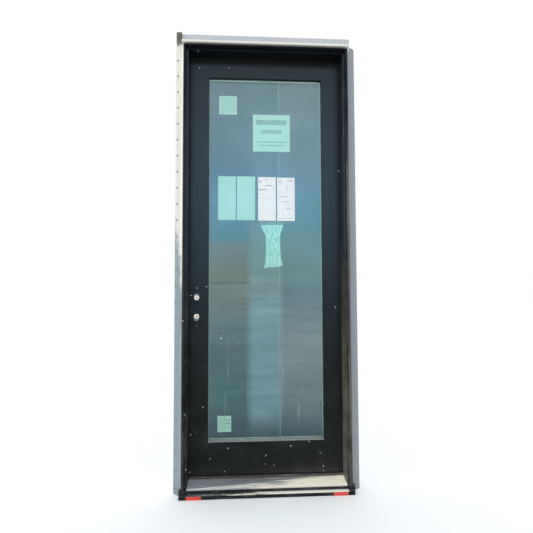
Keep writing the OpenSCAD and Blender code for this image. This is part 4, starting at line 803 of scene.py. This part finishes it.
tape.data.materials.append(clear)
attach(tape, "panel")


# ---- Dust on the glass ----
# What rain and handling leave on the outdoor pane: a thin haze, thicker low down, with dried
# drops and runs. It is a film 0.05 mm thick, which lies 0.1 mm outside the sheets on the pane.

# the film's half width, half height, middle height and corner radius (mm), as the glass shows
half_width = 320.5
half_height = 1016.5
film_middle = 1264
corner = 6
film = bmesh.new()
rings = []
for y in (42.55, 42.6):
    rings.append([])
    for turn in range(0, 360, 15):
        # a rounded oblong: a circle pulled out to the four corners
        across = (half_width - corner) * (1 if turn < 90 or turn >= 270 else -1)
        upward = (half_height - corner) * (1 if turn < 180 else -1)
        x = across + corner * cos(radians(turn + 7.5))
        z = film_middle + upward + corner * sin(radians(turn + 7.5))
        rings[-1].append(film.verts.new((x / 1000, y / 1000, z / 1000)))
film.faces.new(rings[0])
film.faces.new(rings[1][::-1])
for i in range(24):
    film.faces.new((rings[0][i], rings[1][i], rings[1][(i + 1) % 24], rings[0][(i + 1) % 24]))
bmesh.ops.recalc_face_normals(film, faces=film.faces)
dust = mesh_piece("pane_dust", film)
dusty, tree, skin = new_finish("dried_dust")
skin.inputs["Roughness"].default_value = 0.9
at = add_node(tree, "TexCoord")
axes = add_node(tree, "SeparateXYZ", {}, {0: (at, "Object")})
low = add_node(tree, "MapRange", {"From Min": 1.1, "From Max": 0.25, "To Min": 0.12, "To Max": 1.0},
               {0: (axes, 2)})
wiped = add_node(tree, "Mapping", {"Scale": (5.0, 5.0, 3.0), "Rotation": (0, 0.5, 0)},
                 {0: (at, "Object")})
veil = add_node(tree, "TexNoise", {"Scale": 1.0, "Detail": 8.0, "Roughness": 0.62},
                {"Vector": (wiped, 0)})
haze = add_node(tree, "MapRange", {"From Min": 0.47, "From Max": 0.8, "To Max": 0.05}, {0: (veil, "Fac")})
# dried drops 3 to 9 mm across, in clusters of about 200 mm low down
flock = add_node(tree, "TexNoise", {"Scale": 5.5, "Detail": 1.0}, {"Vector": (at, "Object")})
thin = add_node(tree, "MapRange", {"From Min": 0.44, "From Max": 0.56}, {0: (flock, "Fac")})
thin = add_node(tree, "Math", {"operation": "MULTIPLY"}, {0: (thin, 0), 1: (low, 0)})
drops = add_node(tree, "TexVoronoi", {"Scale": 24.0}, {"Vector": (at, "Object")})
lot = add_node(tree, "SeparateColor", {}, {0: (drops, "Color")})
size = add_node(tree, "Math", {"operation": "MULTIPLY_ADD", 1: 0.075, 2: 0.03}, {0: (lot, 1)})
inside = add_node(tree, "Math", {"operation": "LESS_THAN"}, {0: (drops, "Distance"), 1: (size, 0)})
some = add_node(tree, "Math", {"operation": "MULTIPLY", 1: 0.9}, {0: (thin, 0)})
kept = add_node(tree, "Math", {"operation": "LESS_THAN"}, {0: (lot, 0), 1: (some, 0)})
spots = add_node(tree, "Math", {"operation": "MULTIPLY"}, {0: (inside, 0), 1: (kept, 0)})
# runs 3 mm wide that slant a little, in broken stretches
fallen = add_node(tree, "Mapping", {"Scale": (60.0, 60.0, 3.0), "Rotation": (0, -0.09, 0)},
                  {0: (at, "Object")})
runs = add_node(tree, "TexNoise", {"Scale": 1.0, "Detail": 3.0}, {"Vector": (fallen, 0)})
trails = add_node(tree, "MapRange", {"From Min": 0.66, "From Max": 0.74, "To Max": 0.22},
                  {0: (runs, "Fac")})
both = add_node(tree, "Math", {"operation": "MAXIMUM"}, {0: (haze, 0), 1: (trails, 0)})
thick = add_node(tree, "Math", {"operation": "MULTIPLY"}, {0: (both, 0), 1: (low, 0)})
spots = add_node(tree, "Math", {"operation": "MULTIPLY", 1: 0.85}, {0: (spots, 0)})
cover = add_node(tree, "Math", {"operation": "MAXIMUM"}, {0: (thick, 0), 1: (spots, 0)})
tree.links.new(cover.outputs[0], skin.inputs["Alpha"])
grey = add_node(tree, "Mix", {"data_type": "RGBA", 6: linear("a8adab"), 7: linear("e6e8e6")},
                {0: (spots, 0)})
tree.links.new(grey.outputs[2], skin.inputs["Base Color"])
dust.data.materials.append(dusty)
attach(dust, "panel")
